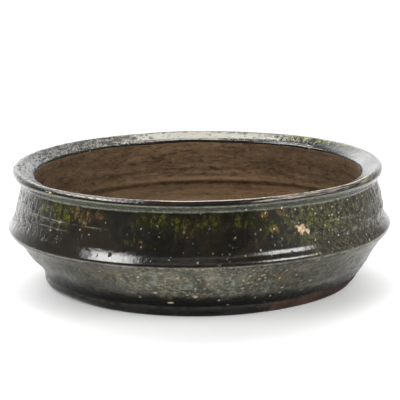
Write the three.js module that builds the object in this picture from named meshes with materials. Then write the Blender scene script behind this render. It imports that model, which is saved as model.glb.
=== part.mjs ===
// Glazed stoneware planter bowl, modelled the way a potter builds a wide carinated pot:
// a floor slab, a foot ring, a lower wall, an upper wall and a turned-out rim lip are made as
// separate sections, luted together with slip, and coated outside with a glaze that stops
// just inside the mouth and just above the foot. Nothing on it moves.
//
// Millimetres, +Z up, origin on the ground plane at the centre of the foot.

import * as THREE from 'three';

// ---- driving dimensions -------------------------------------------------------------------
const CREST_R = 180.0;      // widest radius, at the carination
const CREST_Z = 54.0;       // height of the carination's crest
const LIP_R = 173.0;        // outer radius of the lip
const LIP_TOP_Z = 110.0;    // overall height
const NECK_R = 166.5;       // waist under the lip
const NECK_Z = 93.2;
const MOUTH_R = 151.2;      // clear radius of the mouth, at the inner edge of the rim
const MOUTH_Z = 97.6;       // where the glaze stops inside the mouth
const FOOT_R = 147.2;       // foot ring, outside
const FOOT_IN_R = 132.0;    // foot ring, inside
const FOOT_H = 10.0;
const RECESS = 3.0;         // how far the floor stands clear of the ground inside the foot
const FLOOR_Z = 12.2;       // floor, inside
const DRAIN_R = 12.5;       // drainage hole
const GLAZE = 1.0;          // fired glaze thickness
const SEAT = 0.05;          // modelling clearance between touching sections
const SEGMENTS = 48;        // facets round the pot

// ---- profiles (radius, height) --------------------------------------------------------------
// Outside of the glaze, from the foot up to the crest.
const OUT_LOWER = [
  [148.4, 10.4], [150.4, 14.2], [154.8, 20.6], [159.6, 26.6], [164.2, 32.6],
  [168.2, 38.8], [172.8, 44.8], [178.3, 50.0], [CREST_R, CREST_Z],
];
// From the crest up to the underside of the lip.
const OUT_UPPER = [
  [CREST_R, CREST_Z], [178.9, 56.4], [176.3, 60.0], [174.8, 62.6], [173.4, 66.4],
  [172.2, 73.0], [170.2, 81.4], [168.2, 88.2], [NECK_R, NECK_Z],
];
// Round the lip, down its dished top and over the inner edge of the mouth.
const OUT_RIM = [
  [NECK_R, NECK_Z], [167.3, 97.0], [169.6, 100.6], [172.0, 103.4], [LIP_R, 106.4],
  [172.4, 108.9], [170.6, LIP_TOP_Z], [167.6, 109.2], [160.0, 105.8], [154.6, 103.1],
  [152.0, 100.8], [MOUTH_R, MOUTH_Z],
];
// Inside face of the clay, from the floor up to the mouth: the wall is pushed out behind the
// carination, so the inside has a broad groove there.
const IN_LOWER = [
  [FOOT_IN_R, FLOOR_Z], [138.0, 15.4], [144.5, 21.0], [150.0, 28.0], [155.5, 35.5],
  [160.0, 41.5], [163.0, 47.0], [164.3, CREST_Z],
];
const IN_UPPER = [
  [164.3, CREST_Z], [163.2, 59.5], [160.0, 63.5], [157.2, 67.0], [156.6, 74.0],
  [155.0, 82.0], [153.4, 89.0],
];
const IN_RIM = [[153.4, 89.0], [152.2, 93.4], [MOUTH_R + 0.2, MOUTH_Z - 0.3]];

// ---- helpers ----------------------------------------------------------------------------------
// The polyline moved sideways by d, to the left of its direction of travel (mitred corners).
function offset(line, d) {
  const dirs = line.slice(1).map((p, i) => {
    const dx = p[0] - line[i][0], dy = p[1] - line[i][1], l = Math.hypot(dx, dy);
    return [dx / l, dy / l];
  });
  return line.map((p, i) => {
    const a = dirs[Math.max(0, i - 1)], b = dirs[Math.min(dirs.length - 1, i)];
    let nx = -(a[1] + b[1]), ny = a[0] + b[0];
    const l = Math.hypot(nx, ny);
    nx /= l; ny /= l;
    const k = d / (nx * -a[1] + ny * a[0]);
    return [p[0] + nx * k, p[1] + ny * k];
  });
}

// One solid of revolution about +Z from a closed loop of (radius, height) points, given
// anticlockwise in the (radius, height) plane.
function ring(name, loop, material) {
  const points = [...loop, loop[0]].map(([r, z]) => new THREE.Vector2(r, z));
  const mesh = new THREE.Mesh(new THREE.LatheGeometry(points, SEGMENTS), material);
  mesh.name = name;
  mesh.rotation.x = Math.PI / 2; // the lathe's own axis is +Y
  return mesh;
}

// ---- materials ----------------------------------------------------------------------------------
const clay = new THREE.MeshStandardMaterial({ name: 'bare_clay', color: 0x6a4f3b, roughness: 0.88, metalness: 0 });
const footClay = new THREE.MeshStandardMaterial({ name: 'foot_clay', color: 0x3a2a22, roughness: 0.6, metalness: 0 });
const darkGlaze = new THREE.MeshStandardMaterial({ name: 'dark_green_glaze', color: 0x1c2014, roughness: 0.12, metalness: 0 });
const greyGlaze = new THREE.MeshStandardMaterial({ name: 'olive_grey_glaze', color: 0x3b3d31, roughness: 0.25, metalness: 0 });

// ---- the clay under the glaze ----------------------------------------------------------------
// The outside is one continuous line, so its offset is taken once and then split, and the
// sections and coats meet exactly at the crest and at the neck.
const OUT_ALL = [...OUT_LOWER, ...OUT_UPPER.slice(1), ...OUT_RIM.slice(1)];
const CLAY_ALL = offset(OUT_ALL, GLAZE + SEAT);   // inward: left of a line that runs upward outside
const BACK_ALL = offset(OUT_ALL, GLAZE);          // back of the glaze
const nLower = OUT_LOWER.length, nUpper = OUT_UPPER.length;
const part = (line, k) => k === 0 ? line.slice(0, nLower)
  : k === 1 ? line.slice(nLower - 1, nLower + nUpper - 1)
  : line.slice(nLower + nUpper - 2);

const [clayLower, clayUpper, clayRim] = [0, 1, 2].map((k) => part(CLAY_ALL, k));
const [backLower, backUpper, backRim] = [0, 1, 2].map((k) => part(BACK_ALL, k));

const rev = (line) => [...line].reverse();

// Luted seam at the crest: a V-shaped tongue on the upper wall sits in a groove in the lower wall.
const SEAM_OUT = clayLower[clayLower.length - 1];
const SEAM = [[175.0, CREST_Z], [171.5, CREST_Z - 4.0], [168.0, CREST_Z]];
// Luted seam under the lip: a plain bevel that rises towards the outside.
const BEVEL_OUT = clayUpper[clayUpper.length - 1];
const BEVEL_IN = IN_UPPER[IN_UPPER.length - 1];

// ---- sections -------------------------------------------------------------------------------------
const floorSlab = ring('floor_slab', [
  [DRAIN_R, RECESS + 0.8], [DRAIN_R + 0.8, RECESS], [FOOT_IN_R - SEAT, RECESS],
  [FOOT_IN_R - SEAT, FLOOR_Z], [DRAIN_R + 2.0, FLOOR_Z], [DRAIN_R, FLOOR_Z - 2.0],
], clay);

const footRing = ring('foot_ring', [
  [FOOT_IN_R, 1.5], [FOOT_IN_R + 1.5, 0], [FOOT_R - 2.6, 0], [FOOT_R - 1.0, 1.6],
  [FOOT_R, FOOT_H], [FOOT_IN_R, FOOT_H],
], footClay);

const lowerWall = ring('lower_wall', [
  [FOOT_IN_R, FOOT_H + SEAT], [FOOT_R, FOOT_H + SEAT],
  ...clayLower.slice(0, -1), [SEAM_OUT[0], CREST_Z - SEAT],
  ...SEAM.map(([r, z]) => [r, z - SEAT]),
  [IN_LOWER[IN_LOWER.length - 1][0], CREST_Z - SEAT],
  ...rev(IN_LOWER).slice(1),
], clay);

const upperWall = ring('upper_wall', [
  [SEAM_OUT[0], CREST_Z + SEAT], ...clayUpper.slice(1, -1),
  [BEVEL_OUT[0], BEVEL_OUT[1] - SEAT], [BEVEL_IN[0], BEVEL_IN[1] - SEAT],
  ...rev(IN_UPPER).slice(1, -1), [IN_UPPER[0][0], CREST_Z + SEAT],
  ...rev(SEAM).map(([r, z]) => [r, z + SEAT]),
], clay);

const rimLip = ring('rim_lip', [
  [BEVEL_OUT[0], BEVEL_OUT[1] + SEAT], ...clayRim.slice(1),
  ...rev(IN_RIM).slice(0, -1), [BEVEL_IN[0], BEVEL_IN[1] + SEAT],
], clay);

// ---- glaze coats ------------------------------------------------------------------------------------
const coat = (name, front, back, material) => ring(name, [...front, ...rev(back)], material);
const lift = (line, first, last) => line.map(([r, z], i) =>
  [r, z + (i === 0 ? first : i === line.length - 1 ? last : 0)]);

const glazeLower = coat('glaze_lower', lift(OUT_LOWER, 0, -SEAT), lift(backLower, 0, -SEAT), greyGlaze);
const glazeUpper = coat('glaze_upper', lift(OUT_UPPER, SEAT, -SEAT), lift(backUpper, SEAT, -SEAT), darkGlaze);
const glazeRim = coat('glaze_rim', lift(OUT_RIM, SEAT, 0), lift(backRim, SEAT, 0), darkGlaze);

// ---- assembly -----------------------------------------------------------------------------------------
const clayBody = new THREE.Group();
clayBody.add(floorSlab, footRing, lowerWall, upperWall, rimLip);
const glazeCoat = new THREE.Group();
glazeCoat.add(glazeLower, glazeUpper, glazeRim);

const planterBowl = new THREE.Group();
planterBowl.name = 'planter_bowl';
planterBowl.add(clayBody, glazeCoat);

export default planterBowl;
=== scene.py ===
import math

import bpy
import numpy as np
from mathutils import Matrix, Vector


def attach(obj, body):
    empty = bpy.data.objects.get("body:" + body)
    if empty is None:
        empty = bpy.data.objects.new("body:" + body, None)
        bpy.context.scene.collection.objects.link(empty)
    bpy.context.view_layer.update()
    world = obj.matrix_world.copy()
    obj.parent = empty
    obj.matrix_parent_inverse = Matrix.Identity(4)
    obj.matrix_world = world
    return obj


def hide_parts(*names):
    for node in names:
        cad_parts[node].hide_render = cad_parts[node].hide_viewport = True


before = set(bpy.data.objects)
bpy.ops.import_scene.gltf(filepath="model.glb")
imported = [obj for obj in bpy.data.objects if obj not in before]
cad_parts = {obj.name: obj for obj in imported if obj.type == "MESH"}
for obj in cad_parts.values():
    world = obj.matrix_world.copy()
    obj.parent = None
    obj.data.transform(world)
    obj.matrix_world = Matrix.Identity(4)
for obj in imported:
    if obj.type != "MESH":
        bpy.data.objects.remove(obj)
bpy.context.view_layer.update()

# Everything is worked out in millimetres and turned into metres when a mesh is made.
# phi is the angle round the pot from its front (-Y), positive towards +X.
MM = 0.001
TAU = 2.0 * math.pi
N_GLAZE = 1080      # columns round the glaze coats
N_CLAY = 720        # columns round the clay sections
GLAZE = 1.0         # fired glaze thickness
rng = np.random.default_rng(20417)


# ---- noise ------------------------------------------------------------------------------------
def _hash(x, y, z, seed):
    m = np.uint64(0xFFFFFFFF)
    h = (x * np.uint64(0x27D4EB2D) + y * np.uint64(0x165667B1) + z * np.uint64(0x1B873593)
         + np.uint64(seed * 0x9E3779B1 & 0xFFFFFFFF)) & m
    h ^= h >> np.uint64(15)
    h = (h * np.uint64(0x85EBCA6B)) & m
    h ^= h >> np.uint64(13)
    h = (h * np.uint64(0xC2B2AE35)) & m
    h ^= h >> np.uint64(16)
    return h


def noise(x, y, z, seed=0):
    """Gradient noise from -1 to 1, the same for the same place and seed."""
    x, y, z = np.broadcast_arrays(np.asarray(x, float), np.asarray(y, float), np.asarray(z, float))
    fx, fy, fz = np.floor(x), np.floor(y), np.floor(z)
    ux, uy, uz = x - fx, y - fy, z - fz
    ix, iy, iz = (a.astype(np.int64).astype(np.uint64) for a in (fx, fy, fz))
    sx, sy, sz = (u * u * u * (u * (u * 6 - 15) + 10) for u in (ux, uy, uz))
    out = 0.0
    one = np.uint64(1)
    for cx in (0, 1):
        wx = sx if cx else 1 - sx
        for cy in (0, 1):
            wy = sy if cy else 1 - sy
            for cz in (0, 1):
                wz = sz if cz else 1 - sz
                h = _hash(ix + one * np.uint64(cx), iy + one * np.uint64(cy), iz + one * np.uint64(cz), seed)
                gx = (h & np.uint64(1023)).astype(float) / 511.5 - 1
                gy = ((h >> np.uint64(10)) & np.uint64(1023)).astype(float) / 511.5 - 1
                gz = ((h >> np.uint64(20)) & np.uint64(1023)).astype(float) / 511.5 - 1
                out = out + wx * wy * wz * (gx * (ux - cx) + gy * (uy - cy) + gz * (uz - cz))
    return np.clip(out * 1.35, -1, 1)


def fbm(x, y, z, seed=0, octaves=3):
    total, amp, k = 0.0, 1.0, 1.0
    for o in range(octaves):
        total = total + amp * noise(x * k, y * k, z * k, seed + 17 * o)
        amp, k = amp * 0.5, k * 2.03
    return total / (2 - 2 ** (1 - octaves))


def smooth(a, b, x):
    t = np.clip((x - a) / (b - a), 0, 1)
    return t * t * (3 - 2 * t)


# ---- profiles (millimetres) --------------------------------------------------------------------
# Outside of the fired pot from the foot to inside the mouth: radius at the left, radius at the
# right, height. The pot was thrown by hand, so its two sides differ by a few millimetres.
OUTSIDE = [
    (141.6, 142.6, 0.0), (143.4, 144.4, 0.9), (144.8, 145.9, 2.4), (145.6, 147.9, 5.0), (145.8, 150.3, 8.0), (145.5, 151.2, 10.2),
    (145.6, 152.6, 12.0), (146.3, 154.3, 14.2), (147.9, 156.7, 17.3), (150.2, 159.0, 20.4), (153.3, 160.9, 23.5),
    (156.5, 162.6, 26.5), (159.5, 164.3, 29.5), (162.0, 166.1, 32.5), (164.1, 168.0, 35.6), (166.1, 170.0, 38.7),
    (168.2, 172.0, 41.8), (171.0, 174.5, 44.8), (174.6, 177.4, 47.8), (177.2, 179.4, 50.0), (178.4, 180.3, 52.0),
    (178.75, 180.55, 52.8), (178.92, 180.72, 53.2), (178.98, 180.78, 53.5), (178.98, 180.78, 54.0), (178.94, 180.74, 54.5),
    (178.85, 180.65, 55.0), (178.70, 180.50, 55.4), (178.45, 180.27, 55.8), (178.13, 180.00, 56.25), (177.74, 179.60, 56.8),
    (177.24, 178.95, 57.5), (176.31, 177.70, 58.8), (175.43, 176.62, 60.0), (174.90, 176.07, 60.8), (174.42, 175.56, 61.6), (173.90, 174.99, 62.6),
    (173.00, 174.34, 64.4), (172.25, 174.08, 66.4), (171.85, 173.96, 68.0), (171.50, 173.84, 69.5), (170.75, 173.4, 73.0),
    (169.7, 172.5, 77.0), (168.7, 171.6, 81.4), (167.8, 170.7, 85.0), (166.9, 169.5, 88.2),
    (166.2, 168.6, 91.0), (165.5, 167.9, 93.4), (164.95, 167.5, 95.2), (164.9, 167.45, 96.2), (165.4, 167.8, 97.0),
    (166.7, 168.6, 98.0), (168.9, 170.0, 99.6), (170.9, 171.3, 101.4), (172.2, 172.2, 102.8), (172.75, 172.6, 103.6),
    (173.0, 172.75, 104.4), (173.1, 172.8, 105.6), (172.9, 172.6, 107.0), (172.4, 172.1, 108.2), (171.5, 171.2, 109.2),
    (170.3, 170.0, 109.8), (169.0, 168.8, 109.95), (167.2, 167.0, 109.5), (165.0, 165.0, 108.5), (162.0, 162.0, 107.1),
    (158.4, 158.4, 105.5), (156.7, 156.7, 104.6), (155.0, 155.0, 103.3), (153.6, 153.6, 101.8), (152.7, 152.7, 100.2), (152.1, 152.1, 98.4),
]
# Inside of the clay from the floor's edge to the mouth, with the groove behind the ridge.
INSIDE = [
    (120.0, 12.2), (126.5, 12.3), (132.0, 13.0), (138.0, 15.8), (144.5, 21.0), (150.0, 28.0), (155.2, 35.5),
    (158.4, 41.5), (159.7, 47.0), (160.0, 53.0), (159.6, 57.4), (159.1, 59.4), (158.4, 60.8), (157.7, 62.2), (157.2, 64.2), (156.9, 68.4),
    (156.6, 74.0), (155.2, 82.0), (154.2, 89.0), (153.6, 93.4), (153.3, 97.0), (153.2, 100.0), (153.25, 101.2),
]


def spline(points, per=24):
    """A dense Catmull-Rom curve through points (centripetal, so that tight bends don't overshoot)."""
    p = np.array(points, float)
    p = np.vstack([2 * p[0] - p[1], p, 2 * p[-1] - p[-2]])
    out = []
    for i in range(1, len(p) - 2):
        p0, p1, p2, p3 = p[i - 1:i + 3]
        t0 = 0.0
        t1 = t0 + np.linalg.norm(p1 - p0) ** 0.5
        t2 = t1 + np.linalg.norm(p2 - p1) ** 0.5
        t3 = t2 + np.linalg.norm(p3 - p2) ** 0.5
        t = np.linspace(t1, t2, per, endpoint=False)[:, None]
        a1 = (t1 - t) / (t1 - t0) * p0 + (t - t0) / (t1 - t0) * p1
        a2 = (t2 - t) / (t2 - t1) * p1 + (t - t1) / (t2 - t1) * p2
        a3 = (t3 - t) / (t3 - t2) * p2 + (t - t2) / (t3 - t2) * p3
        b1 = (t2 - t) / (t2 - t0) * a1 + (t - t0) / (t2 - t0) * a2
        b2 = (t3 - t) / (t3 - t1) * a2 + (t - t1) / (t3 - t1) * a3
        out.append((t2 - t) / (t2 - t1) * b1 + (t - t1) / (t2 - t1) * b2)
    out.append(p[-2][None, :])
    return np.vstack(out)


class Profile:
    """A profile by arc length s: radius at the left and right, height, and the outward normal."""

    def __init__(self, points):
        c = spline(points)
        if c.shape[1] == 2:
            c = np.column_stack([c[:, 0], c[:, 0], c[:, 1]])
        mean = np.column_stack([(c[:, 0] + c[:, 1]) / 2, c[:, 2]])
        step = np.linalg.norm(np.diff(mean, axis=0), axis=1)
        self.s = np.concatenate([[0], np.cumsum(step)])
        self.left, self.right, self.z, self.mean = c[:, 0], c[:, 1], c[:, 2], mean[:, 0]
        tr, tz = np.gradient(self.mean, self.s), np.gradient(self.z, self.s)
        k = np.ones(5) / 5
        tr = np.convolve(np.pad(tr, 2, mode="edge"), k, "valid")
        tz = np.convolve(np.pad(tz, 2, mode="edge"), k, "valid")
        length = np.hypot(tr, tz)
        self.nr, self.nz = tz / length, -tr / length
        self.length = self.s[-1]

    def at(self, s):
        f = lambda a: np.interp(s, self.s, a)
        return f(self.left), f(self.right), f(self.z), f(self.nr), f(self.nz)

    def s_at(self, z, r=None):
        """The arc length nearest to a height, or to a radius and a height."""
        d = np.abs(self.z - z) if r is None else np.hypot(self.z - z, self.mean - r)
        return float(self.s[int(np.argmin(d))])


OUT = Profile(OUTSIDE)
INN = Profile(INSIDE)
S_FOOT = OUT.s_at(10.2, 149.6)
S_CREST = OUT.s_at(53.4, 180.35)
S_NECK = OUT.s_at(95.5, 166.15)
S_ARRIS = OUT.s_at(104.0, 172.8)
S_LIP = OUT.s_at(106.0, 172.95)
S_TOP = OUT.s_at(109.95, 168.9)
S_MOUTH = OUT.s_at(101.3, 152.5)


def wobble(phi, z):
    """Hand-thrown unevenness of the radius, a fraction of a millimetre, the same inside and out."""
    x, y = np.sin(phi), np.cos(phi)
    return 0.55 * noise(1.3 * x + 5, 1.3 * y, z / 42.0, 3) + 0.22 * noise(3.1 * x, 3.1 * y + 9, z / 16.0, 4)


def lift(phi, z):
    """Unevenness of the height, none at the foot and most at the rim."""
    x, y = np.sin(phi), np.cos(phi)
    return smooth(12, 100, z) * (0.45 * noise(1.5 * x, 1.5 * y, 0.5, 5) + 0.2 * noise(3.7 * x, 3.7 * y, 4.5, 6))


def outside(s, phi, out=0.0):
    """Place on the outside at arc length s and angle phi, moved outwards by out."""
    left, right, z, nr, nz = OUT.at(s)
    w = 0.5 + 0.5 * np.sin(phi)
    r = left * (1 - w) + right * w + wobble(phi, z) * smooth(0.0, 6.0, z)
    # the foot was trimmed unevenly, and the neck climbs a little at the front
    trim = 3.0 * np.exp(-((np.degrees(phi) - 3) / 28) ** 2) - 3.6 * np.exp(-((np.degrees(phi) + 57) / 15) ** 2) \
        + 0.5 * np.exp(-((np.degrees(phi) - 54) / 14) ** 2)
    r = r + trim * smooth(6.0, 0.0, z)
    neck = 2.5 * np.exp(-((z - 97) / 4) ** 2) * np.maximum(0, np.cos(phi)) ** 4 * (s < S_LIP)
    # the ridge sags a little across the front, and so does the top of the lip
    sag = (0.9 - 0.3 * np.sin(phi)) * smooth(0.99, 0.84, np.abs(np.sin(phi))) * (np.cos(phi) > 0) * np.exp(-((z - 54) / 7) ** 2)
    sag = sag + (0.85 + 0.8 * np.sin(phi) ** 2) * smooth(0.25, 0.6, np.cos(phi)) * smooth(S_ARRIS, S_TOP - 2, s) * smooth(S_MOUTH, S_MOUTH - 8, s)
    return r + nr * out, z + nz * out + lift(phi, z) + neck - sag


def inside(s, phi, out=0.0):
    left, _, z, nr, nz = INN.at(s)
    r = left + wobble(phi, z) * smooth(10, 30, z)
    # the step behind the ridge climbs towards the right
    climb = (-2.0 + 2.2 * np.sin(phi)) * smooth(40, 60, z) * smooth(88, 68, z)
    return r - nr * out, z - nz * out + lift(phi, z) + climb


def rows(a, b, step, tight_a=True, tight_b=True):
    """Arc lengths from a to b about step apart, closer together next to a seam."""
    n = max(2, int(round(abs(b - a) / step)))
    t = np.linspace(0, 1, n + 1)
    d = np.array([0.08, 0.25, 0.55]) / abs(b - a)
    extra = ([*d] if tight_a else []) + ([*(1 - d)] if tight_b else [])
    t = np.unique(np.round(np.concatenate([t, extra]), 7))
    return a + (b - a) * t


def spread(parts):
    """Shares from 0 to 1 for rows laid over stretches given as (length, step), closer at the seams."""
    at, marks = 0.0, [0.0]
    for length, step in parts:
        n = max(1, int(round(length / step)))
        marks += [at + length * (k + 1) / n for k in range(n)]
        at += length
    marks = np.array(marks)
    extra = np.array([0.08, 0.25, at - 0.25, at - 0.08])
    return np.unique(np.round(np.concatenate([marks, extra]) / at, 6))


# ---- meshes ------------------------------------------------------------------------------------
def angles(n, pull=0.0):
    """n angles round the pot, closer together at the front where pull is above 0."""
    u = np.arange(n) * TAU / n - math.pi
    return u - pull * np.sin(u)


def revolve(name, r, z, phi, material, sharp=(), values=None):
    """A closed ring: r and z hold one row for each point of the section (anticlockwise in the
    radius-height plane) and one column for each angle. sharp lists rows that are hard edges."""
    m, n = r.shape
    co = np.stack([r * np.sin(phi), -r * np.cos(phi), z], -1).reshape(-1, 3) * MM
    i, j = np.meshgrid(np.arange(m), np.arange(n), indexing="ij")
    i2, j2 = (i + 1) % m, (j + 1) % n
    quads = np.stack([i * n + j, i * n + j2, i2 * n + j2, i2 * n + j], -1).reshape(-1, 4)
    mesh = bpy.data.meshes.new(name)
    mesh.vertices.add(len(co))
    mesh.vertices.foreach_set("co", co.astype(np.float32).ravel())
    mesh.loops.add(quads.size)
    mesh.loops.foreach_set("vertex_index", quads.astype(np.int32).ravel())
    mesh.polygons.add(len(quads))
    mesh.polygons.foreach_set("loop_start", np.arange(0, quads.size, 4, dtype=np.int32))
    mesh.update(calc_edges=True)
    mesh.polygons.foreach_set("use_smooth", np.ones(len(quads), bool))
    if len(sharp):
        pair = np.zeros(len(mesh.edges) * 2, np.int32)
        mesh.edges.foreach_get("vertices", pair)
        row = pair.reshape(-1, 2) // n
        hard = (row[:, 0] == row[:, 1]) & np.isin(row[:, 0], list(sharp))
        mesh.attributes.new("sharp_edge", "BOOLEAN", "EDGE").data.foreach_set("value", hard)
    for key, value in (values or {}).items():
        mesh.attributes.new(key, "FLOAT", "POINT").data.foreach_set(
            "value", np.clip(np.broadcast_to(value, r.shape), 0, 1).astype(np.float32).ravel())
    mesh.validate()
    mesh.update()
    obj = bpy.data.objects.new(name, mesh)
    bpy.context.scene.collection.objects.link(obj)
    mesh.materials.append(material)
    return obj


PIECES = []


def add_piece(obj, node):
    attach(obj, "root")
    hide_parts(node)
    PIECES.append(obj)
    return obj


# ---- what the glaze did in the kiln ------------------------------------------------------------
# Each entry: angle round the pot in degrees, height, half-width and half-height
# in millimetres, strength.
GREEN = [
    (-56, 88, 9, 10, 0.42), (-49, 91, 8, 9, 0.70), (-43.5, 88, 6, 10, 0.66), (-38, 90, 6, 6, 0.4), (-13, 90, 15, 8, 0.36),
    (-6, 85, 9, 9, 0.30), (-20, 73, 7, 5, 0.16), (4, 90, 12, 7, 0.24), (14, 90, 14, 7, 0.28), (21, 84, 10, 10, 0.28),
    (28, 88, 12, 9, 0.38), (35, 88, 14, 12, 0.50), (41, 85, 12, 14, 0.42), (45, 70, 22, 12, 0.14), (33, 68, 20, 10, 0.14),
    (52, 84, 14, 14, 0.34), (60, 76, 18, 16, 0.16), (24, 72, 18, 8, 0.12), (72, 82, 16, 12, 0.2), (-8, 88, 42, 9, 0.16), (16, 88, 42, 9, 0.14),
    (104, 86, 26, 11, 0.7), (128, 80, 22, 13, 0.6), (151, 88, 30, 9, 0.8), (176, 84, 22, 12, 0.5), (-162, 89, 28, 9, 0.75),
    (-140, 82, 20, 13, 0.6), (-118, 87, 24, 10, 0.8), (-96, 84, 20, 10, 0.5), (-80, 86, 14, 9, 0.4),
]
AMBER = [
    (-40, 92, 5, 7, 0.9), (-36, 88, 8, 8, 0.7), (-31, 92, 5, 5, 0.5), (-47, 80, 5, 5, 0.4), (-17, 70, 6, 5, 0.28),
    (-3, 84, 9, 9, 0.16), (20, 93.4, 4.4, 5.2, 1.0), (25.5, 96, 4.2, 4.6, 1.0), (22.5, 80.5, 4.4, 4.0, 0.95), (17, 69, 5, 5, 0.22),
    (120, 90, 10, 6, 0.7), (160, 84, 12, 8, 0.5), (-150, 91, 9, 6, 0.8), (-124, 80, 8, 8, 0.5),
]
MILK = [
    (-13.6, 40, 4.5, 11, 0.9), (-17, 30, 9, 6, 0.35), (-3.4, 32, 8, 4.5, 0.85), (7.2, 37.5, 8, 2.4, 0.9), (9.0, 40.5, 4.5, 2.2, 0.9),
    (10.2, 31, 1.9, 10, 1.0), (6.4, 30, 9, 5, 0.4), (21.6, 28, 3.4, 7, 0.6), (48, 44, 2.4, 7, 0.8), (51.5, 41, 2.2, 8, 0.7),
    (56, 38, 2.4, 9, 0.8), (61, 36, 2.4, 9, 0.8), (66, 32, 2.6, 9, 0.7), (47, 21, 20, 3.2, 0.6), (60, 19, 16, 3.0, 0.6),
    (-47, 29, 16, 8, 0.35), (-60, 33, 16, 12, 0.45), (-74, 36, 16, 11, 0.6), (84, 38, 14, 9, 0.7),
    (108, 36, 20, 8, 0.6), (132, 40, 12, 9, 0.9), (158, 33, 22, 9, 0.7), (-170, 38, 14, 9, 0.9), (-146, 31, 16, 9, 0.6),
    (-122, 39, 14, 10, 0.8), (-98, 34, 18, 9, 0.7),
]
# Brown and sandy patches on the lower wall.
RUST = [
    (-36, 44, 8, 5, 0.9), (-30, 45, 8, 4, 0.8), (-41, 47, 6, 4, 0.6), (-25.5, 43, 6, 4, 0.5), (-10, 31, 6, 3, 0.7), (-14, 20, 3.0, 2.0, 1.0),
    (-1.0, 18.0, 3.0, 1.8, 0.9), (25, 37, 8, 5, 0.6), (17, 41, 5, 4, 0.5), (1.5, 35, 5, 2.5, 0.6), (-57, 42, 10, 5, 0.4),
    (110, 43, 12, 5, 0.7), (147, 36, 12, 6, 0.6), (-178, 44, 12, 5, 0.7), (-133, 42, 12, 5, 0.7), (-88, 43, 10, 5, 0.6),
]
SAND = [
    (-24.0, 36, 4.5, 7.5, 0.9), (-20.5, 32, 5, 4, 0.6), (-8, 41, 8, 5, 0.5), (3.5, 42, 8, 6, 0.8), (13, 39, 6, 5, 0.4), (33, 44, 9, 5, 0.5),
    (-33, 36, 6, 3, 0.3), (124, 38, 9, 6, 0.7), (168, 41, 10, 6, 0.6), (-155, 37, 9, 6, 0.7), (-112, 35, 9, 6, 0.6),
]
# Bare chips and inclusions: angle, height, radius, depth and, where it is oblong, how much wider than high.
CHIPS = [
    (31.5, 77.8, 4.3, 0.55), (33.4, 75.6, 2.0, 0.35), (30.0, 80.6, 1.6, 0.3), (-49.0, 107.6, 2.4, 0.7), (-50.8, 107.0, 1.5, 0.5),
    (20.2, 94.6, 0.9, 0.25), (19.2, 92.4, 0.6, 0.2), (25.6, 97.6, 0.9, 0.25), (26.2, 95.8, 0.6, 0.2), (22.4, 80.8, 0.9, 0.3),
    (118, 79, 3.4, 0.5), (143, 92, 2.2, 0.4), (-158, 76, 3.0, 0.5), (-131, 88, 2.0, 0.3), (-104, 74, 2.6, 0.4), (171, 30, 2.2, 0.4, 1.3),
    (-140, 26, 2.0, 0.4, 1.4), (98, 29, 1.8, 0.4, 1.3),
]
# Dark pinholes, in the same way.
PITS = [
    (-25.9, 59.6, 1.5, 0.6), (-13.8, 57.2, 0.9, 0.4), (27.3, 59.6, 1.1, 0.5), (-30.0, 58.2, 0.8, 0.3), (21.0, 58.8, 0.9, 0.35),
    (-5.2, 41.1, 1.0, 0.45), (-2.0, 29.9, 0.9, 0.4), (-12.4, 13.2, 1.3, 0.3, 1.5), (-14.6, 21.0, 1.0, 0.3, 1.4), (-0.6, 18.2, 1.2, 0.3, 1.4),
    (-35.5, 30.0, 0.9, 0.3, 1.3), (-43.0, 33.0, 1.0, 0.3, 1.3), (30.8, 33.5, 1.0, 0.3, 1.2), (112, 60.5, 1.2, 0.5), (-150, 59.5, 1.3, 0.5),
]
# Cream flecks on the lower wall, most of them oblong.
CREAM = [
    (-18.3, 40.3, 1.3, 0.12, 1.1), (-17.1, 42.8, 1.0, 0.1, 1.1), (-6.2, 40.5, 1.2, 0.2, 1.25), (-1.1, 29.2, 1.2, 0.2, 1.1), (-14.3, 23.5, 1.6, 0.25, 1.4),
    (-1.3, 20.3, 2.0, 0.25, 1.4), (-9.8, 13.2, 1.8, 0.25, 1.7), (-4.0, 21.8, 1.0, 0.1, 1.4), (2.8, 34.0, 1.2, 0.15, 1.3),
    (15.0, 41.2, 1.2, 0.1, 1.6), (16.0, 33.8, 1.1, 0.1, 1.5), (17.9, 30.8, 1.0, 0.1, 1.5), (18.9, 40.2, 0.9, 0.1, 1.4), (20.0, 37.2, 0.9, 0.1, 1.2),
    (20.2, 34.4, 0.9, 0.1, 1.4), (19.7, 45.3, 0.9, 0.1, 1.3), (22.8, 39.1, 1.0, 0.1, 1.4), (24.9, 34.7, 0.8, 0.1), (26.3, 42.5, 0.9, 0.1, 0.8),
    (29.2, 42.5, 0.9, 0.1), (30.6, 36.4, 0.8, 0.1), (13.6, 27.6, 1.0, 0.1, 1.6), (13.2, 36.7, 0.9, 0.1), (27.1, 19.1, 0.9, 0.1, 1.4),
    (37.5, 26.7, 1.0, 0.1, 1.3), (39.4, 43.9, 0.9, 0.1), (27.2, 24.4, 1.0, 0.1, 1.6), (22.3, 11.0, 0.8, 0.1, 1.3), (23.8, 16.9, 0.8, 0.1, 1.3),
    (18.5, 16.6, 0.8, 0.1, 1.3), (6.4, 16.1, 0.9, 0.1, 1.4), (9.6, 10.3, 0.9, 0.1, 1.7), (-10.9, 45.7, 0.8, 0.1), (-39.3, 39.0, 0.8, 0.1),
    (-25.1, 44.3, 0.8, 0.1), (-24.2, 36.0, 0.8, 0.1), (-20.2, 17.4, 0.9, 0.1, 1.3),
]


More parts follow.
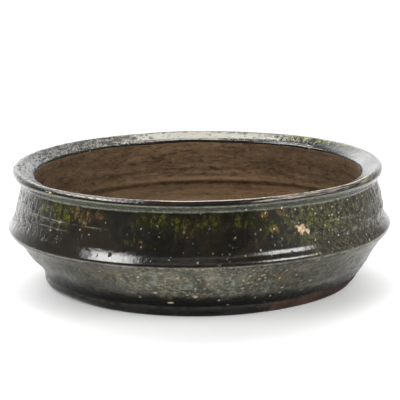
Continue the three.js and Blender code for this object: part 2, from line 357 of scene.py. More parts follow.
def spots(s, r, z, phi, places, start=0.35, ragged=0.45, seed=0):
    """Soft ragged patches as a share from 0 to 1."""
    out = np.zeros_like(r)
    x, y = r * np.sin(phi), r * np.cos(phi)
    edge = ragged * fbm(x / 9.0, y / 9.0, z / 9.0, 40 + seed, 3)
    for a, height, wide, tall, amount in places:
        d = (phi - math.radians(a) + math.pi) % TAU - math.pi
        q = np.hypot(d * r / wide, (z - height) / tall)
        out = np.maximum(out, amount * (1 - smooth(start, 1.35, q + edge)))
    return out


def craters(s, r, z, phi, places, seed=0):
    """How far each place is inside a crater (1 at its centre, 0 outside) and how deep it is there."""
    mask, depth = np.zeros_like(r), np.zeros_like(r)
    x, y = r * np.sin(phi), r * np.cos(phi)
    edge = 0.42 * noise(x / 2.1, y / 2.1, z / 1.7, 60 + seed) + 0.22 * noise(x / 1.1, y / 1.1, z / 1.0, 66 + seed)
    for a, height, radius, deep, *shape in places:
        wide = shape[0] if shape else 1.0
        d = (phi - math.radians(a) + math.pi) % TAU - math.pi
        cols = np.nonzero(np.abs(d[0]) * 180.0 < radius * wide * 2.6)[0]
        if not len(cols):
            continue
        q = np.hypot(d[:, cols] * r[:, cols] / wide, (z[:, cols] - height) * wide) / radius + edge[:, cols]
        inside_it = 1 - smooth(0.72, 1.05, q)
        mask[:, cols] = np.maximum(mask[:, cols], inside_it)
        bowl = deep * np.clip(1 - np.clip(q, 0, 2) ** 2, 0, 1)
        lip = 0.10 * deep * np.exp(-((q - 1.25) / 0.28) ** 2)
        depth[:, cols] = np.where(np.abs(bowl - lip) > np.abs(depth[:, cols]), bowl - lip, depth[:, cols])
    return mask, depth


def dots(r, z, phi, places):
    """Small soft dots, each about its radius across, as a share from 0 to 1."""
    out = np.zeros_like(r)
    for k, (a, height, radius, _) in enumerate(places):
        d = (phi - math.radians(a) + math.pi) % TAU - math.pi
        cols = np.nonzero(np.abs(d[0]) * 180.0 < radius * 3)[0]
        if len(cols):
            q = np.hypot(d[:, cols] * r[:, cols], (z[:, cols] - height)) / radius
            out[:, cols] = np.maximum(out[:, cols], (0.45 + 0.55 * (k * 0.618 % 1.0)) * np.exp(-q ** 2))
    return out


def random_places(count, z_low, z_high, r_low, r_high, deep, seed):
    g = np.random.default_rng(seed)
    return [(float(a), float(h), float(q), float(q * deep))
            for a, h, q in zip(g.uniform(-180, 180, count), g.uniform(z_low, z_high, count),
                               r_low + (r_high - r_low) * g.power(0.45, count))]


FINE_PITS = [e for e in random_places(420, 12, 94, 0.6, 1.3, 0.22, 71) if abs(e[0]) > 40 or not 54 < e[1] < 66]
# Cream specks that stand out: angle, height, radius. The rest of the pot has the same kind at random.
SPECKS = [(a, h, q, 0.0) for a, h, q in (
    (-36.6, 72.2, 1.2), (-29.9, 78.5, 0.9), (-28.5, 85.9, 1.2), (-32.8, 80.4, 1.0), (-53.6, 90.9, 1.6), (-48.6, 88.8, 1.2),
    (-16.9, 83.2, 1.5), (-4.2, 81.5, 1.4), (-16.8, 72.2, 1.3), (-21.2, 78.0, 1.0), (-18.9, 78.3, 0.9), (-14.5, 80.4, 0.9),
    (-7.9, 60.7, 1.0), (-1.6, 72.2, 0.9), (16.6, 78.0, 1.2), (10.6, 75.8, 1.4), (13.1, 60.4, 1.2), (7.8, 58.7, 1.2), (4.0, 63.4, 1.0),
    (29.2, 83.6, 1.2), (27.0, 90.9, 1.0), (29.0, 89.2, 1.0), (58.6, 88.3, 1.5), (60.6, 95.0, 1.2), (45.1, 87.0, 1.5), (35.9, 88.8, 1.5),
    (37.0, 92.3, 1.3), (33.6, 85.4, 1.5), (40.2, 75.8, 1.2), (49.5, 81.2, 1.5), (49.5, 94.0, 1.1), (46.1, 93.2, 1.1), (41.0, 88.3, 1.1),
    (42.8, 86.5, 1.1), (38.6, 82.3, 1.1), (36.5, 83.2, 1.1))]
SPECKS = [(a, h, 0.46 * q, 0.0) for a, h, q, _ in SPECKS]
SPECKS += [e for e in random_places(170, 58, 94, 0.35, 0.60, 0.0, 73) if abs(e[0] - 2) > 36]

# Marks on the dished top of the rim: angle, radius, half-width and half-height in millimetres, strength.
RIM_DARK = [
    (148.6, 163.5, 0.8, 6.0, 0.9), (149.6, 168.5, 2.2, 1.2, 0.7), (-157, 162, 2.6, 1.2, 0.9), (-154, 164.5, 3.0, 1.4, 0.9), (-160, 166, 2.0, 1.0, 0.7),
    (-151, 160.5, 1.8, 1.0, 0.8), (169, 168.2, 4.0, 0.9, 0.9), (172, 166.4, 2.0, 1.0, 0.7), (165, 167.6, 2.4, 0.8, 0.7), (-172, 168.4, 3.0, 0.7, 0.5),
    (158, 168.4, 3.0, 0.8, 0.6), (152, 168.2, 7.0, 1.0, 0.9), (160, 168.8, 8.0, 0.8, 0.8), (163, 165.8, 1.4, 1.4, 0.8), (167.5, 166.6, 2.2, 1.0, 0.8),
    (-176, 167.6, 2.4, 0.8, 0.7), (-166, 168.6, 5.0, 0.8, 0.7), (176, 168.8, 4.0, 0.7, 0.6), (-147, 167.4, 4.0, 1.4, 0.9), (-144, 161, 3.0, 1.2, 0.8),
    (-150, 165.8, 2.4, 1.4, 0.9), (-137, 168, 5.0, 1.2, 0.9), (-163, 159.6, 2.0, 1.0, 0.7), (-140, 163, 2.0, 1.0, 0.7), (-133, 165, 2.4, 1.0, 0.7), (-126, 162, 2.0, 1.0, 0.6), (12, 160, 2.0, 1.0, 0.6), (40, 163, 2.4, 1.0, 0.6),
]
RIM_DARK = [(a, q, (1.4 if abs(a) > 125 else 1.0) * wide, (1.8 if abs(a) > 125 else 1.0) * tall, k) for a, q, wide, tall, k in RIM_DARK]
RIM_GREEN = [(115, 168, 10, 3.0, 0.5), (-70, 166, 9, 3, 0.3), (20, 165, 14, 4, 0.6), (-15, 164, 12, 4, 0.5)]
RIM_OLIVE = [
    (146, 167.0, 8, 4.5, 0.8), (140, 166.5, 10, 4.5, 1.0), (131, 166.5, 12, 4.5, 1.0), (122, 167.5, 12, 3.5, 0.8), (112, 168.5, 12, 2.5, 0.5),
    (100, 169, 14, 2.0, 0.3),
]


def dense_share(phi, z):
    """How thickly small specks lie: few at the front and left, many round the right."""
    a = np.degrees(phi)
    right = smooth(16, 40, a) * (1 - smooth(150, 175, a))
    return 0.10 + 0.75 * right + 0.30 * smooth(-38, -60, a) + 0.12 * noise(3 * np.sin(phi), 3 * np.cos(phi), z / 20, 29)


def lower_painted_lightness(phi):
    """Painted shade on the lower wall: its glaze is drawn palest at the front and darker to either side of it, standing
    in for shade.
    """
    at = (-180, -110, -75, -40, -30, -20, -13, 0, 10, 20, 30, 45, 60, 75, 110, 180)
    tone = (0.80, 0.65, 0.42, 0.40, 0.58, 0.86, 1.0, 1.0, 0.90, 0.58, 0.46, 0.50, 0.56, 0.62, 0.75, 0.80)
    return np.interp(np.degrees(phi), at, tone)


def glaze_surface(s, phi):
    """The glaze's outer face: radius, height and the values its material reads."""
    s = np.broadcast_to(s, (s.shape[0], len(phi))) if s.ndim == 2 else np.repeat(s[:, None], len(phi), 1)
    ph = np.repeat(phi[None, :], s.shape[0], 0)
    r0, z0 = outside(s, ph)
    x, y = r0 * np.sin(ph), r0 * np.cos(ph)
    wall = smooth(S_FOOT, S_FOOT + 4, s)
    top = smooth(S_LIP + 2, S_LIP + 8, s)
    left_rim = smooth(S_LIP - 1, S_LIP + 3, s) * smooth(0.05, -0.45, np.sin(ph) - 0.2 * np.cos(ph)) * smooth(-56, -72, np.degrees(ph))

    # finger marks run round the pot, then a softer ripple and an orange-peel skin
    calm = 1 - 0.75 * np.exp(-((z0 - 55.5) / 4.5) ** 2) * (s < S_LIP)
    calm = calm - 0.55 * smooth(S_NECK - 2, S_NECK + 2, s) * (1 - smooth(S_LIP + 2, S_LIP + 6, s)) - 0.4 * top
    d = calm * (0.17 * noise(x / 60, y / 60, z0 / 8.0, 11) + 0.20 * noise(x / 30, y / 30, z0 / 22.0, 12))
    d = d + 0.065 * noise(x / 8.5, y / 8.5, z0 / 8.5, 13) + 0.030 * noise(x / 3.4, y / 3.4, z0 / 3.4, 14)
    d = d + left_rim * (0.16 * noise(x / 4.4, y / 4.4, z0 / 4.4, 15) + 0.24 * noise(x / 2.0, y / 2.0, z0 / 2.0, 16))
    sides = smooth(0.62, 0.92, np.abs(np.sin(ph))) * smooth(57, 66, z0) * (1 - smooth(S_NECK - 3, S_NECK + 2, s))
    d = d + sides * (1.2 + 0.2 * (np.sin(ph) > 0)) * (0.25 * noise(x / 2.2, y / 2.2, z0 / 5.5, 17) + 0.32 * noise(x / 5.0, y / 5.0, z0 / 8.0, 35))
    low_sides = smooth(0.55, 0.9, np.abs(np.sin(ph))) * smooth(S_CREST - 3, S_CREST - 6, s) * wall
    d = d + low_sides * (0.31 * noise(x / 2.6, y / 2.6, z0 / 3.6, 25) + 0.28 * noise(x / 6.0, y / 6.0, z0 / 6.0, 43))
    # a thrown step half-way up the upper wall, strong in places and lost in others
    line = 80.3 + 0.9 * noise(1.9 * np.sin(ph), 1.9 * np.cos(ph), 2.0, 18) + 0.6 * noise(x / 9, y / 9, 0, 19)
    deg_here = np.degrees(ph)
    strong = 0.75 * smooth(0.0, 0.45, noise(4.2 * np.sin(ph) + 3, 4.2 * np.cos(ph), 7.0, 20))
    strong = strong * smooth(16, 34, np.abs(deg_here))
    strong = np.maximum(strong, smooth(19, 10, np.abs(deg_here + 50)) * smooth(-0.35, 0.1, noise(x / 11, y / 11, 3, 26)))
    strong = np.maximum(strong, smooth(9, 4, np.abs(deg_here - 49)) * smooth(-0.4, 0.1, noise(x / 11, y / 11, 5, 27)))
    d = d + strong * (0.42 * np.exp(-((z0 - line + 1.0) / 0.9) ** 2) - 0.36 * np.exp(-((z0 - line - 0.8) / 1.0) ** 2)) * (s < S_LIP)
    # a second ledge lower down, right of the front and far left
    second = 73.8 + 0.6 * noise(2.2 * np.sin(ph) + 8, 2.2 * np.cos(ph), 3.0, 21)
    ledge = np.maximum(smooth(8, 3, np.abs(deg_here - 24)), smooth(8, 3, np.abs(deg_here + 47)) * 0.8)
    ledge = np.maximum(ledge, 0.8 * smooth(0.1, 0.5, noise(3.6 * np.sin(ph), 3.6 * np.cos(ph), 9.0, 28)) * (np.abs(deg_here) > 75))
    d = d + ledge * (0.27 * np.exp(-((z0 - second + 1.6) / 2.0) ** 2) - 0.16 * np.exp(-((z0 - second - 1.4) / 2.0) ** 2)) * (s < S_LIP)
    # shallow rings on the lower wall
    for height, deep, seed in ((37.0, 0.12, 22), (27.5, 0.16, 23), (20.5, 0.20, 24)):
        at = height + 1.0 * noise(2.0 * np.sin(ph), 2.0 * np.cos(ph), seed, seed)
        d = d - deep * np.exp(-((z0 - at) / 1.5) ** 2) * (s < S_CREST)

    not_rim = (s < S_LIP + 1).astype(float)
    chip, chip_deep = craters(s, r0, z0 + 500 * (1 - not_rim), ph, CHIPS, 1)
    pit, pit_deep = craters(s, r0, z0 + 500 * (1 - not_rim), ph, PITS, 2)
    fine, fine_deep = craters(s, r0, z0 + 500 * (1 - not_rim), ph, FINE_PITS, 3)
    speck = dots(r0, z0 + 500 * (1 - not_rim), ph, SPECKS)
    cream, cream_deep = craters(s, r0, z0 + 500 * (s >= S_CREST), ph, CREAM, 5)
    rim_dark = spots(s, r0, r0, ph, RIM_DARK, 0.5, 0.5, 5) * top
    d = d - chip_deep - pit_deep - fine_deep + 0.10 * speck - 0.5 * cream_deep - 0.22 * rim_dark
    # the coat thins to nothing at its lower edge, after a rounded roll, and inside the mouth
    edge_low = s - s[:1, :]
    edge_high = s[-1:, :] - s
    lower = (s < S_CREST).astype(float)
    # pale lines along the arris, the neck, the thrown step and the second ledge: partly glaze breaking thin, partly a
    # painted highlight where they catch the light
    edge = 0.75 * np.exp(-((s - S_ARRIS) / 0.5) ** 2) * smooth(-0.6, 0.2, noise(x / 14, y / 14, 0, 36))
    edge = np.maximum(edge, 0.7 * np.exp(-((s - S_NECK - 0.4) / 0.5) ** 2) * smooth(-0.5, 0.2, noise(x / 12, y / 12, 0, 37)))
    edge = np.maximum(edge, strong * np.exp(-((z0 - line + 0.1) / 0.45) ** 2) * (s < S_LIP))
    edge = np.maximum(edge, 0.6 * smooth(9, 5, np.abs(deg_here + 50)) * np.exp(-((z0 - second) / 0.45) ** 2) * (s < S_LIP))
    # the top of the lip is drawn pale, most of all right of the front: partly thin, worn glaze and partly a painted
    # highlight along the lip
    lip_right_zone = smooth(10, 22, deg_here) * smooth(80, 60, deg_here)
    lip_left_zone = smooth(-12, -20, deg_here) * smooth(-62, -52, deg_here)
    highlight_and_wear = (0.5 + 0.5 * lip_right_zone) * np.exp(-((s - S_TOP + 0.4) / 1.0) ** 2) * smooth(-0.55, 0.15, noise(x / 5, y / 5, z0 / 5, 38))
    lip_face = smooth(S_LIP - 1, S_LIP + 1, s) * (1 - smooth(S_TOP, S_TOP + 2, s))
    highlight_and_wear = np.maximum(highlight_and_wear, 0.5 * lip_right_zone * lip_face * smooth(-0.2, 0.3, noise(x / 13, y / 13, s / 0.9, 44)))
    highlight_and_wear = np.maximum(highlight_and_wear, 0.9 * lip_left_zone * np.exp(-((s - S_TOP + 1.0) / 1.1) ** 2) * smooth(0.0, 0.25, noise(x / 3.4, y / 3.4, s / 1.0, 45)))
    # dark breaks in it at the left, dark streaks over the rim at the left back and a broken pale line inside them, a
    # painted highlight
    breaks = 0.6 * lip_left_zone * lip_face * smooth(0.05, 0.3, noise(x / 3.2, y / 3.2, s / 1.3, 46))
    breaks = np.maximum(breaks, 0.9 * lip_left_zone * np.exp(-((s - S_TOP + 2.4) / 0.8) ** 2) * smooth(-0.4, 0.05, noise(x / 6, y / 6, 0, 49)))
    highlight_and_wear = np.maximum(highlight_and_wear, 0.9 * smooth(-46, -40, deg_here) * smooth(-23, -28, deg_here) * np.exp(-((s - S_TOP + 3.9) / 0.7) ** 2)
                      * smooth(-0.4, 0.0, noise(x / 5, y / 5, 0, 50)))
    left_back = smooth(-92, -112, deg_here) * smooth(-162, -150, deg_here)
    d = d - 0.22 * breaks
    breaks = np.maximum(breaks, left_back * top * smooth(0.0, 0.14, noise(x / 7.5, y / 7.5, s / 2.6, 48)))
    breaks = np.maximum(breaks, 0.8 * smooth(148, 160, np.abs(deg_here)) * top * smooth(0.34, 0.46, noise(x / 5, y / 5, s / 2.0, 51)))
    # a pale line inside the mouth at the left back: a painted highlight
    highlight_and_wear = np.maximum(highlight_and_wear, 0.8 * left_back * np.exp(-((s - S_MOUTH + 4.5) / 0.8) ** 2) * smooth(-0.05, 0.2, noise(x / 3, y / 3, 0, 47)))
    ash = np.exp(-((deg_here + 92) / 24) ** 2) + 0.8 * np.exp(-((deg_here - 90) / 26) ** 2)
    values = {
        "green": np.maximum(spots(s, r0, z0, ph, GREEN, seed=1) * not_rim, spots(s, r0, r0, ph, RIM_GREEN, seed=6) * top),
        "amber": spots(s, r0, z0, ph, AMBER, seed=2) * not_rim,
        "milk": spots(s, r0, z0, ph, MILK, seed=3) * lower,
        "rust": spots(s, r0, z0, ph, RUST, seed=7) * lower,
        "sand": spots(s, r0, z0, ph, SAND, seed=8) * lower,
        # painted shade: the lower wall drawn darker to either side of the front
        "tone": lower_painted_lightness(ph),
        "flecks": 0.07 + 0.16 * smooth(9, 14, deg_here) * smooth(44, 34, deg_here) + 0.06 * (np.abs(deg_here) > 60),
        "cream": cream,
        "chip": chip,
        "pit": np.maximum(np.maximum(pit, fine * 0.6), np.maximum(rim_dark, breaks)),
        "speck": speck,
        "dense": dense_share(ph, z0) * (1 - 0.7 * smooth(S_NECK, S_NECK + 3, s)),
        "under": smooth(S_NECK - 0.6, S_NECK + 0.8, s) * (1 - smooth(S_ARRIS - 0.4, S_ARRIS + 0.6, s)),
        # the pale line under the crest: partly glaze breaking thin, partly a painted highlight
        "edge": np.maximum(edge, 0.85 * np.exp(-((s - S_CREST + 0.75) / 0.5) ** 2) * lower * smooth(-0.6, 0.1, noise(x / 8, y / 8, 0, 39))),
        "highlight_and_wear": highlight_and_wear,
        "ash": ash * smooth(S_LIP + 1, S_LIP + 5, s),
        "olive": spots(s, r0, r0, ph, RIM_OLIVE, seed=9) * top,
        "grain": np.maximum(left_rim, sides),
        "top": top,
    }
    return s, ph, z0, d, edge_low, edge_high, values


def glaze_coat(name, node, s_low, s_high, material, stretches, ends=(False, False)):
    """One coat: its displaced face and a back that lies on the clay. s_low and s_high are arc
    lengths, the same all round or one for each column. stretches gives the row spacing along it,
    ends says which edges thin out."""
    phi = angles(N_GLAZE, 0.4)
    low = np.broadcast_to(np.asarray(s_low, float), phi.shape)
    high = np.broadcast_to(np.asarray(s_high, float), phi.shape)
    t = spread(stretches)
    s = low[None, :] + (high - low)[None, :] * t[:, None]
    s, ph, z0, d, edge_low, edge_high, values = glaze_surface(s, phi)
    thick = np.zeros_like(s)
    if ends[0]:
        roll = 0.35 * np.exp(-((edge_low - 2.2) / 1.3) ** 2)
        thick = thick + roll - 0.9 * (1 - smooth(0.0, 1.8, edge_low))
        d = d * smooth(0, 2.5, edge_low)
    if ends[1]:
        roll = 0.30 * np.exp(-((edge_high - 2.0) / 1.2) ** 2)
        thick = thick + roll - 0.9 * (1 - smooth(0.0, 1.7, edge_high))
        d = d * smooth(0, 2.5, edge_high)
    front_r, front_z = outside(s, ph, d + thick)
    keep = np.unique(np.linspace(0, s.shape[0] - 1, max(6, s.shape[0] // 9)).round().astype(int))[::-1]
    back_r, back_z = outside(s[keep], ph[keep], -GLAZE + 0.03)
    r, z = np.vstack([front_r, back_r]), np.vstack([front_z, back_z])
    m = len(front_r)
    full = {k: np.vstack([v, v[keep]]) for k, v in values.items()}
    full["height"] = np.vstack([z0, z0[keep]]) / 110.0
    obj = revolve(name, r, z, phi, material, sharp=(0, m - 1, m, m + len(keep) - 1), values=full)
    return add_piece(obj, node)


# ---- shader helpers ----------------------------------------------------------------------------
class Tree:
    """Short hand for building a material's nodes."""

    def __init__(self, name):
        self.material = bpy.data.materials.new(name)
        self.material.use_nodes = True
        self.nt = self.material.node_tree
        self.nt.nodes.clear()
        self.out = self.nt.nodes.new("ShaderNodeOutputMaterial")
        self.bsdf = self.nt.nodes.new("ShaderNodeBsdfPrincipled")
        self.link(self.bsdf.outputs[0], self.out.inputs["Surface"])
        self.coords = self.nt.nodes.new("ShaderNodeTexCoord").outputs["Object"]

    def link(self, a, b):
        self.nt.links.new(a, b)

    def put(self, socket, value):
        if isinstance(value, bpy.types.NodeSocket):
            self.link(value, socket)
        elif isinstance(value, (tuple, list)) and len(value) == 3 and socket.type == "RGBA":
            socket.default_value = (*value, 1.0)
        else:
            socket.default_value = value

    def scaled(self, x, y, z):
        m = self.nt.nodes.new("ShaderNodeMapping")
        m.inputs["Scale"].default_value = (x, y, z)
        self.link(self.coords, m.inputs["Vector"])
        return m.outputs[0]

    def noise(self, scale=1.0, detail=3.0, rough=0.55, vector=None, distortion=0.0):
        n = self.nt.nodes.new("ShaderNodeTexNoise")
        n.inputs["Scale"].default_value = scale
        n.inputs["Detail"].default_value = detail
        n.inputs["Roughness"].default_value = rough
        n.inputs["Distortion"].default_value = distortion
        self.link(vector or self.coords, n.inputs["Vector"])
        return n.outputs["Fac"]

    def cells(self, scale, randomness=1.0, vector=None):
        n = self.nt.nodes.new("ShaderNodeTexVoronoi")
        n.inputs["Scale"].default_value = scale
        n.inputs["Randomness"].default_value = randomness
        self.link(vector or self.coords, n.inputs["Vector"])
        sep = self.nt.nodes.new("ShaderNodeSeparateColor")
        self.link(n.outputs["Color"], sep.inputs[0])
        return n.outputs["Distance"], sep.outputs[0], sep.outputs[1]

    def value(self, name):
        n = self.nt.nodes.new("ShaderNodeAttribute")
        n.attribute_name = name
        return n.outputs["Fac"]

    def math(self, op, a, b=0.0, c=0.0, clamp=False):
        n = self.nt.nodes.new("ShaderNodeMath")
        n.operation = op
        n.use_clamp = clamp
        for k, v in enumerate((a, b, c)):
            self.put(n.inputs[k], v)
        return n.outputs[0]

    def ramp(self, x, a, b, low=0.0, high=1.0):
        n = self.nt.nodes.new("ShaderNodeMapRange")
        n.interpolation_type = "SMOOTHSTEP"
        for key, v in (("Value", x), ("From Min", a), ("From Max", b), ("To Min", low), ("To Max", high)):
            self.put(n.inputs[key], v)
        return n.outputs[0]

    def mix(self, fac, a, b):
        n = self.nt.nodes.new("ShaderNodeMix")
        n.data_type = "RGBA"
        self.put(n.inputs["Factor"], fac)
        self.put(n.inputs[6], a)
        self.put(n.inputs[7], b)
        return n.outputs[2]

    def warp(self, scale, amount, x=1.0, y=1.0, z=1.0):
        """Coordinates pushed about by noise and scaled, so that cells come out ragged."""
        n = self.nt.nodes.new("ShaderNodeTexNoise")
        n.inputs["Scale"].default_value = scale
        n.inputs["Detail"].default_value = 2.0
        self.link(self.coords, n.inputs["Vector"])
        push = self.nt.nodes.new("ShaderNodeVectorMath")
        push.operation = "MULTIPLY_ADD"
        self.link(n.outputs["Color"], push.inputs[0])
        push.inputs[1].default_value = (amount, amount, amount)
        self.link(self.coords, push.inputs[2])
        m = self.nt.nodes.new("ShaderNodeMapping")
        m.inputs["Scale"].default_value = (x, y, z)
        self.link(push.outputs[0], m.inputs["Vector"])
        return m.outputs[0]

    def bump(self, height, strength, distance, normal=None):
        n = self.nt.nodes.new("ShaderNodeBump")
        n.inputs["Strength"].default_value = strength
        n.inputs["Distance"].default_value = distance
        self.link(height, n.inputs["Height"])
        if normal is not None:
            self.link(normal, n.inputs["Normal"])
        return n.outputs[0]


def dark_glaze(name):
    """Green-black ash glaze: nearly black, brown where it breaks, olive and amber where it pools."""
    t = Tree(name)
    green, amber, chip, pit = (t.value(k) for k in ("green", "amber", "chip", "pit"))
    speck, dense, under, edge, grain = (t.value(k) for k in ("speck", "dense", "under", "edge", "grain"))
    cloud = t.noise(34, 4, 0.6)
    streak = t.noise(1.0, 3, 0.6, t.scaled(210, 210, 110), 0.8)
    runs = t.noise(1.0, 4, 0.62, t.scaled(150, 150, 80), 1.2)
    mottle = t.noise(300, 4, 0.62, None, 0.5)
    colour = t.mix(t.ramp(cloud, 0.40, 0.66), (0.0040, 0.0040, 0.0032), (0.0095, 0.0072, 0.0042))
    colour = t.mix(t.ramp(t.noise(75, 3, 0.6), 0.50, 0.72, 0, 0.6), colour, (0.0065, 0.0082, 0.0098))
    colour = t.mix(t.ramp(streak, 0.5, 0.75, 0, 0.5), colour, (0.0150, 0.0140, 0.0095))
    colour = t.mix(t.ramp(t.noise(760, 3, 0.6), 0.52, 0.72, 0, 0.6), colour, (0.030, 0.026, 0.015))
    # thinner and mottled olive towards the right, where the ash lay
    m = t.math("MULTIPLY", t.ramp(dense, 0.2, 0.85), t.ramp(mottle, 0.34, 0.66, 0.05, 1.0), clamp=True)
    colour = t.mix(m, colour, t.mix(t.ramp(streak, 0.4, 0.65), (0.033, 0.029, 0.017), (0.070, 0.064, 0.037)))
    # pools of olive green, smeared downwards and broken up
    g = t.math("MULTIPLY", green, t.ramp(runs, 0.38, 0.60, 0.08, 1.1), clamp=True)
    g = t.math("MULTIPLY", g, t.ramp(mottle, 0.38, 0.60, 0.14, 1.0), clamp=True)
    colour = t.mix(g, colour, t.mix(t.ramp(streak, 0.38, 0.65), (0.022, 0.027, 0.0012), (0.135, 0.140, 0.0075)))
    a = t.math("MULTIPLY", amber, t.ramp(runs, 0.36, 0.60, 0.10, 1.0), clamp=True)
    a = t.math("MULTIPLY", a, t.ramp(mottle, 0.34, 0.62, 0.15, 1.0), clamp=True)
    colour = t.mix(a, colour, t.mix(t.ramp(streak, 0.35, 0.65), (0.050, 0.025, 0.006), (0.150, 0.090, 0.026)))
    # under the lip the glaze is thin and dull, and a pale line is painted at each edge: partly glaze breaking thin,
    # partly a painted highlight
    colour = t.mix(t.math("MULTIPLY", under, t.ramp(mottle, 0.3, 0.65, 0.35, 0.95)), colour, (0.060, 0.066, 0.045))
    colour = t.mix(t.math("MULTIPLY", edge, t.ramp(mottle, 0.35, 0.6, 0.25, 0.9)), colour, (0.185, 0.185, 0.135))
    # painted highlight and wear: the pale top of the lip and the pale lines inside the rim
    colour = t.mix(t.math("MULTIPLY", t.value("highlight_and_wear"), t.ramp(mottle, 0.3, 0.55, 0.4, 1.0)), colour, (0.34, 0.28, 0.21))
    colour = t.mix(t.math("MULTIPLY", t.value("ash"), t.ramp(mottle, 0.3, 0.6, 0.25, 0.75)), colour, (0.155, 0.165, 0.165))
    olive = t.math("MULTIPLY", t.value("olive"), t.ramp(mottle, 0.36, 0.60, 0.15, 1.0), clamp=True)
    colour = t.mix(olive, colour, t.mix(t.ramp(streak, 0.35, 0.65), (0.075, 0.082, 0.022), (0.25, 0.26, 0.12)))
    # fine ragged specks of cream and brown, then the larger ones
    dist, pick, tone = t.cells(1.0, 1.0, t.warp(420, 0.0022, 330, 330, 330))
    fine = t.math("MULTIPLY", t.math("LESS_THAN", pick, t.math("MULTIPLY", dense, 0.34)), t.ramp(dist, 0.40, 0.10))
    colour = t.mix(t.math("MULTIPLY", fine, t.ramp(tone, 0, 1, 0.25, 0.95)), colour,
                   t.mix(t.ramp(tone, 0.25, 0.7), (0.15, 0.105, 0.045), (0.36, 0.33, 0.22)))
    s = t.math("MULTIPLY", speck, t.ramp(t.noise(620, 3, 0.6, None, 0.6), 0.38, 0.60, 0.15, 1.1), clamp=True)
    colour = t.mix(s, colour, t.mix(t.ramp(cloud, 0.40, 0.6), (0.20, 0.16, 0.09), (0.44, 0.40, 0.30)))
    # pocked where the glaze boiled
    p_dist, p_pick, _ = t.cells(1.0, 1.0, t.warp(260, 0.0040, 300, 170, 230))
    pock = t.math("MULTIPLY", grain, t.math("MULTIPLY", t.math("LESS_THAN", p_pick, 0.42), t.ramp(p_dist, 0.48, 0.22)))
    colour = t.mix(t.math("MULTIPLY", t.math("MAXIMUM", pit, t.math("MULTIPLY", pock, 0.9)), 0.9), colour, (0.005, 0.005, 0.004))
    bare = t.mix(t.ramp(t.noise(650, 3, 0.65), 0.35, 0.65), (0.22, 0.125, 0.055), (0.56, 0.42, 0.255))
    colour = t.mix(t.math("MULTIPLY", chip, t.ramp(mottle, 0.2, 0.45, 0.6, 1.0)), colour, bare)
    t.link(colour, t.bsdf.inputs["Base Color"])
    rough = t.ramp(t.noise(60, 3, 0.6), 0.35, 0.75, 0.06, 0.15)
    rough = t.math("ADD", rough, t.math("MULTIPLY", chip, 0.35))
    rough = t.math("ADD", rough, t.math("MULTIPLY", under, 0.16))
    rough = t.math("ADD", rough, t.math("MULTIPLY", s, 0.15))
    rough = t.math("ADD", rough, t.math("MULTIPLY", t.math("MAXIMUM", pock, pit), 0.5))
    t.link(rough, t.bsdf.inputs["Roughness"])
    t.bsdf.inputs["IOR"].default_value = 1.55
    # blisters and an uneven skin
    b_dist, b_pick, _ = t.cells(230)
    blister = t.math("MULTIPLY", t.math("LESS_THAN", b_pick, 0.03), t.ramp(b_dist, 0.36, 0.02))
    skin = t.bump(t.noise(260, 3, 0.55), 0.40, 0.00040)
    skin = t.bump(t.noise(800, 2, 0.5), 0.30, 0.00014, skin)
    skin = t.bump(blister, 0.8, 0.0007, skin)
    skin = t.bump(t.math("MULTIPLY", grain, t.noise(1.0, 3, 0.6, t.scaled(430, 430, 150), 0.5)), 0.8, 0.0009, skin)
    skin = t.bump(t.math("SUBTRACT", 1.0, pock), 0.9, 0.0011, skin)
    t.link(skin, t.bsdf.inputs["Normal"])
    return t.material


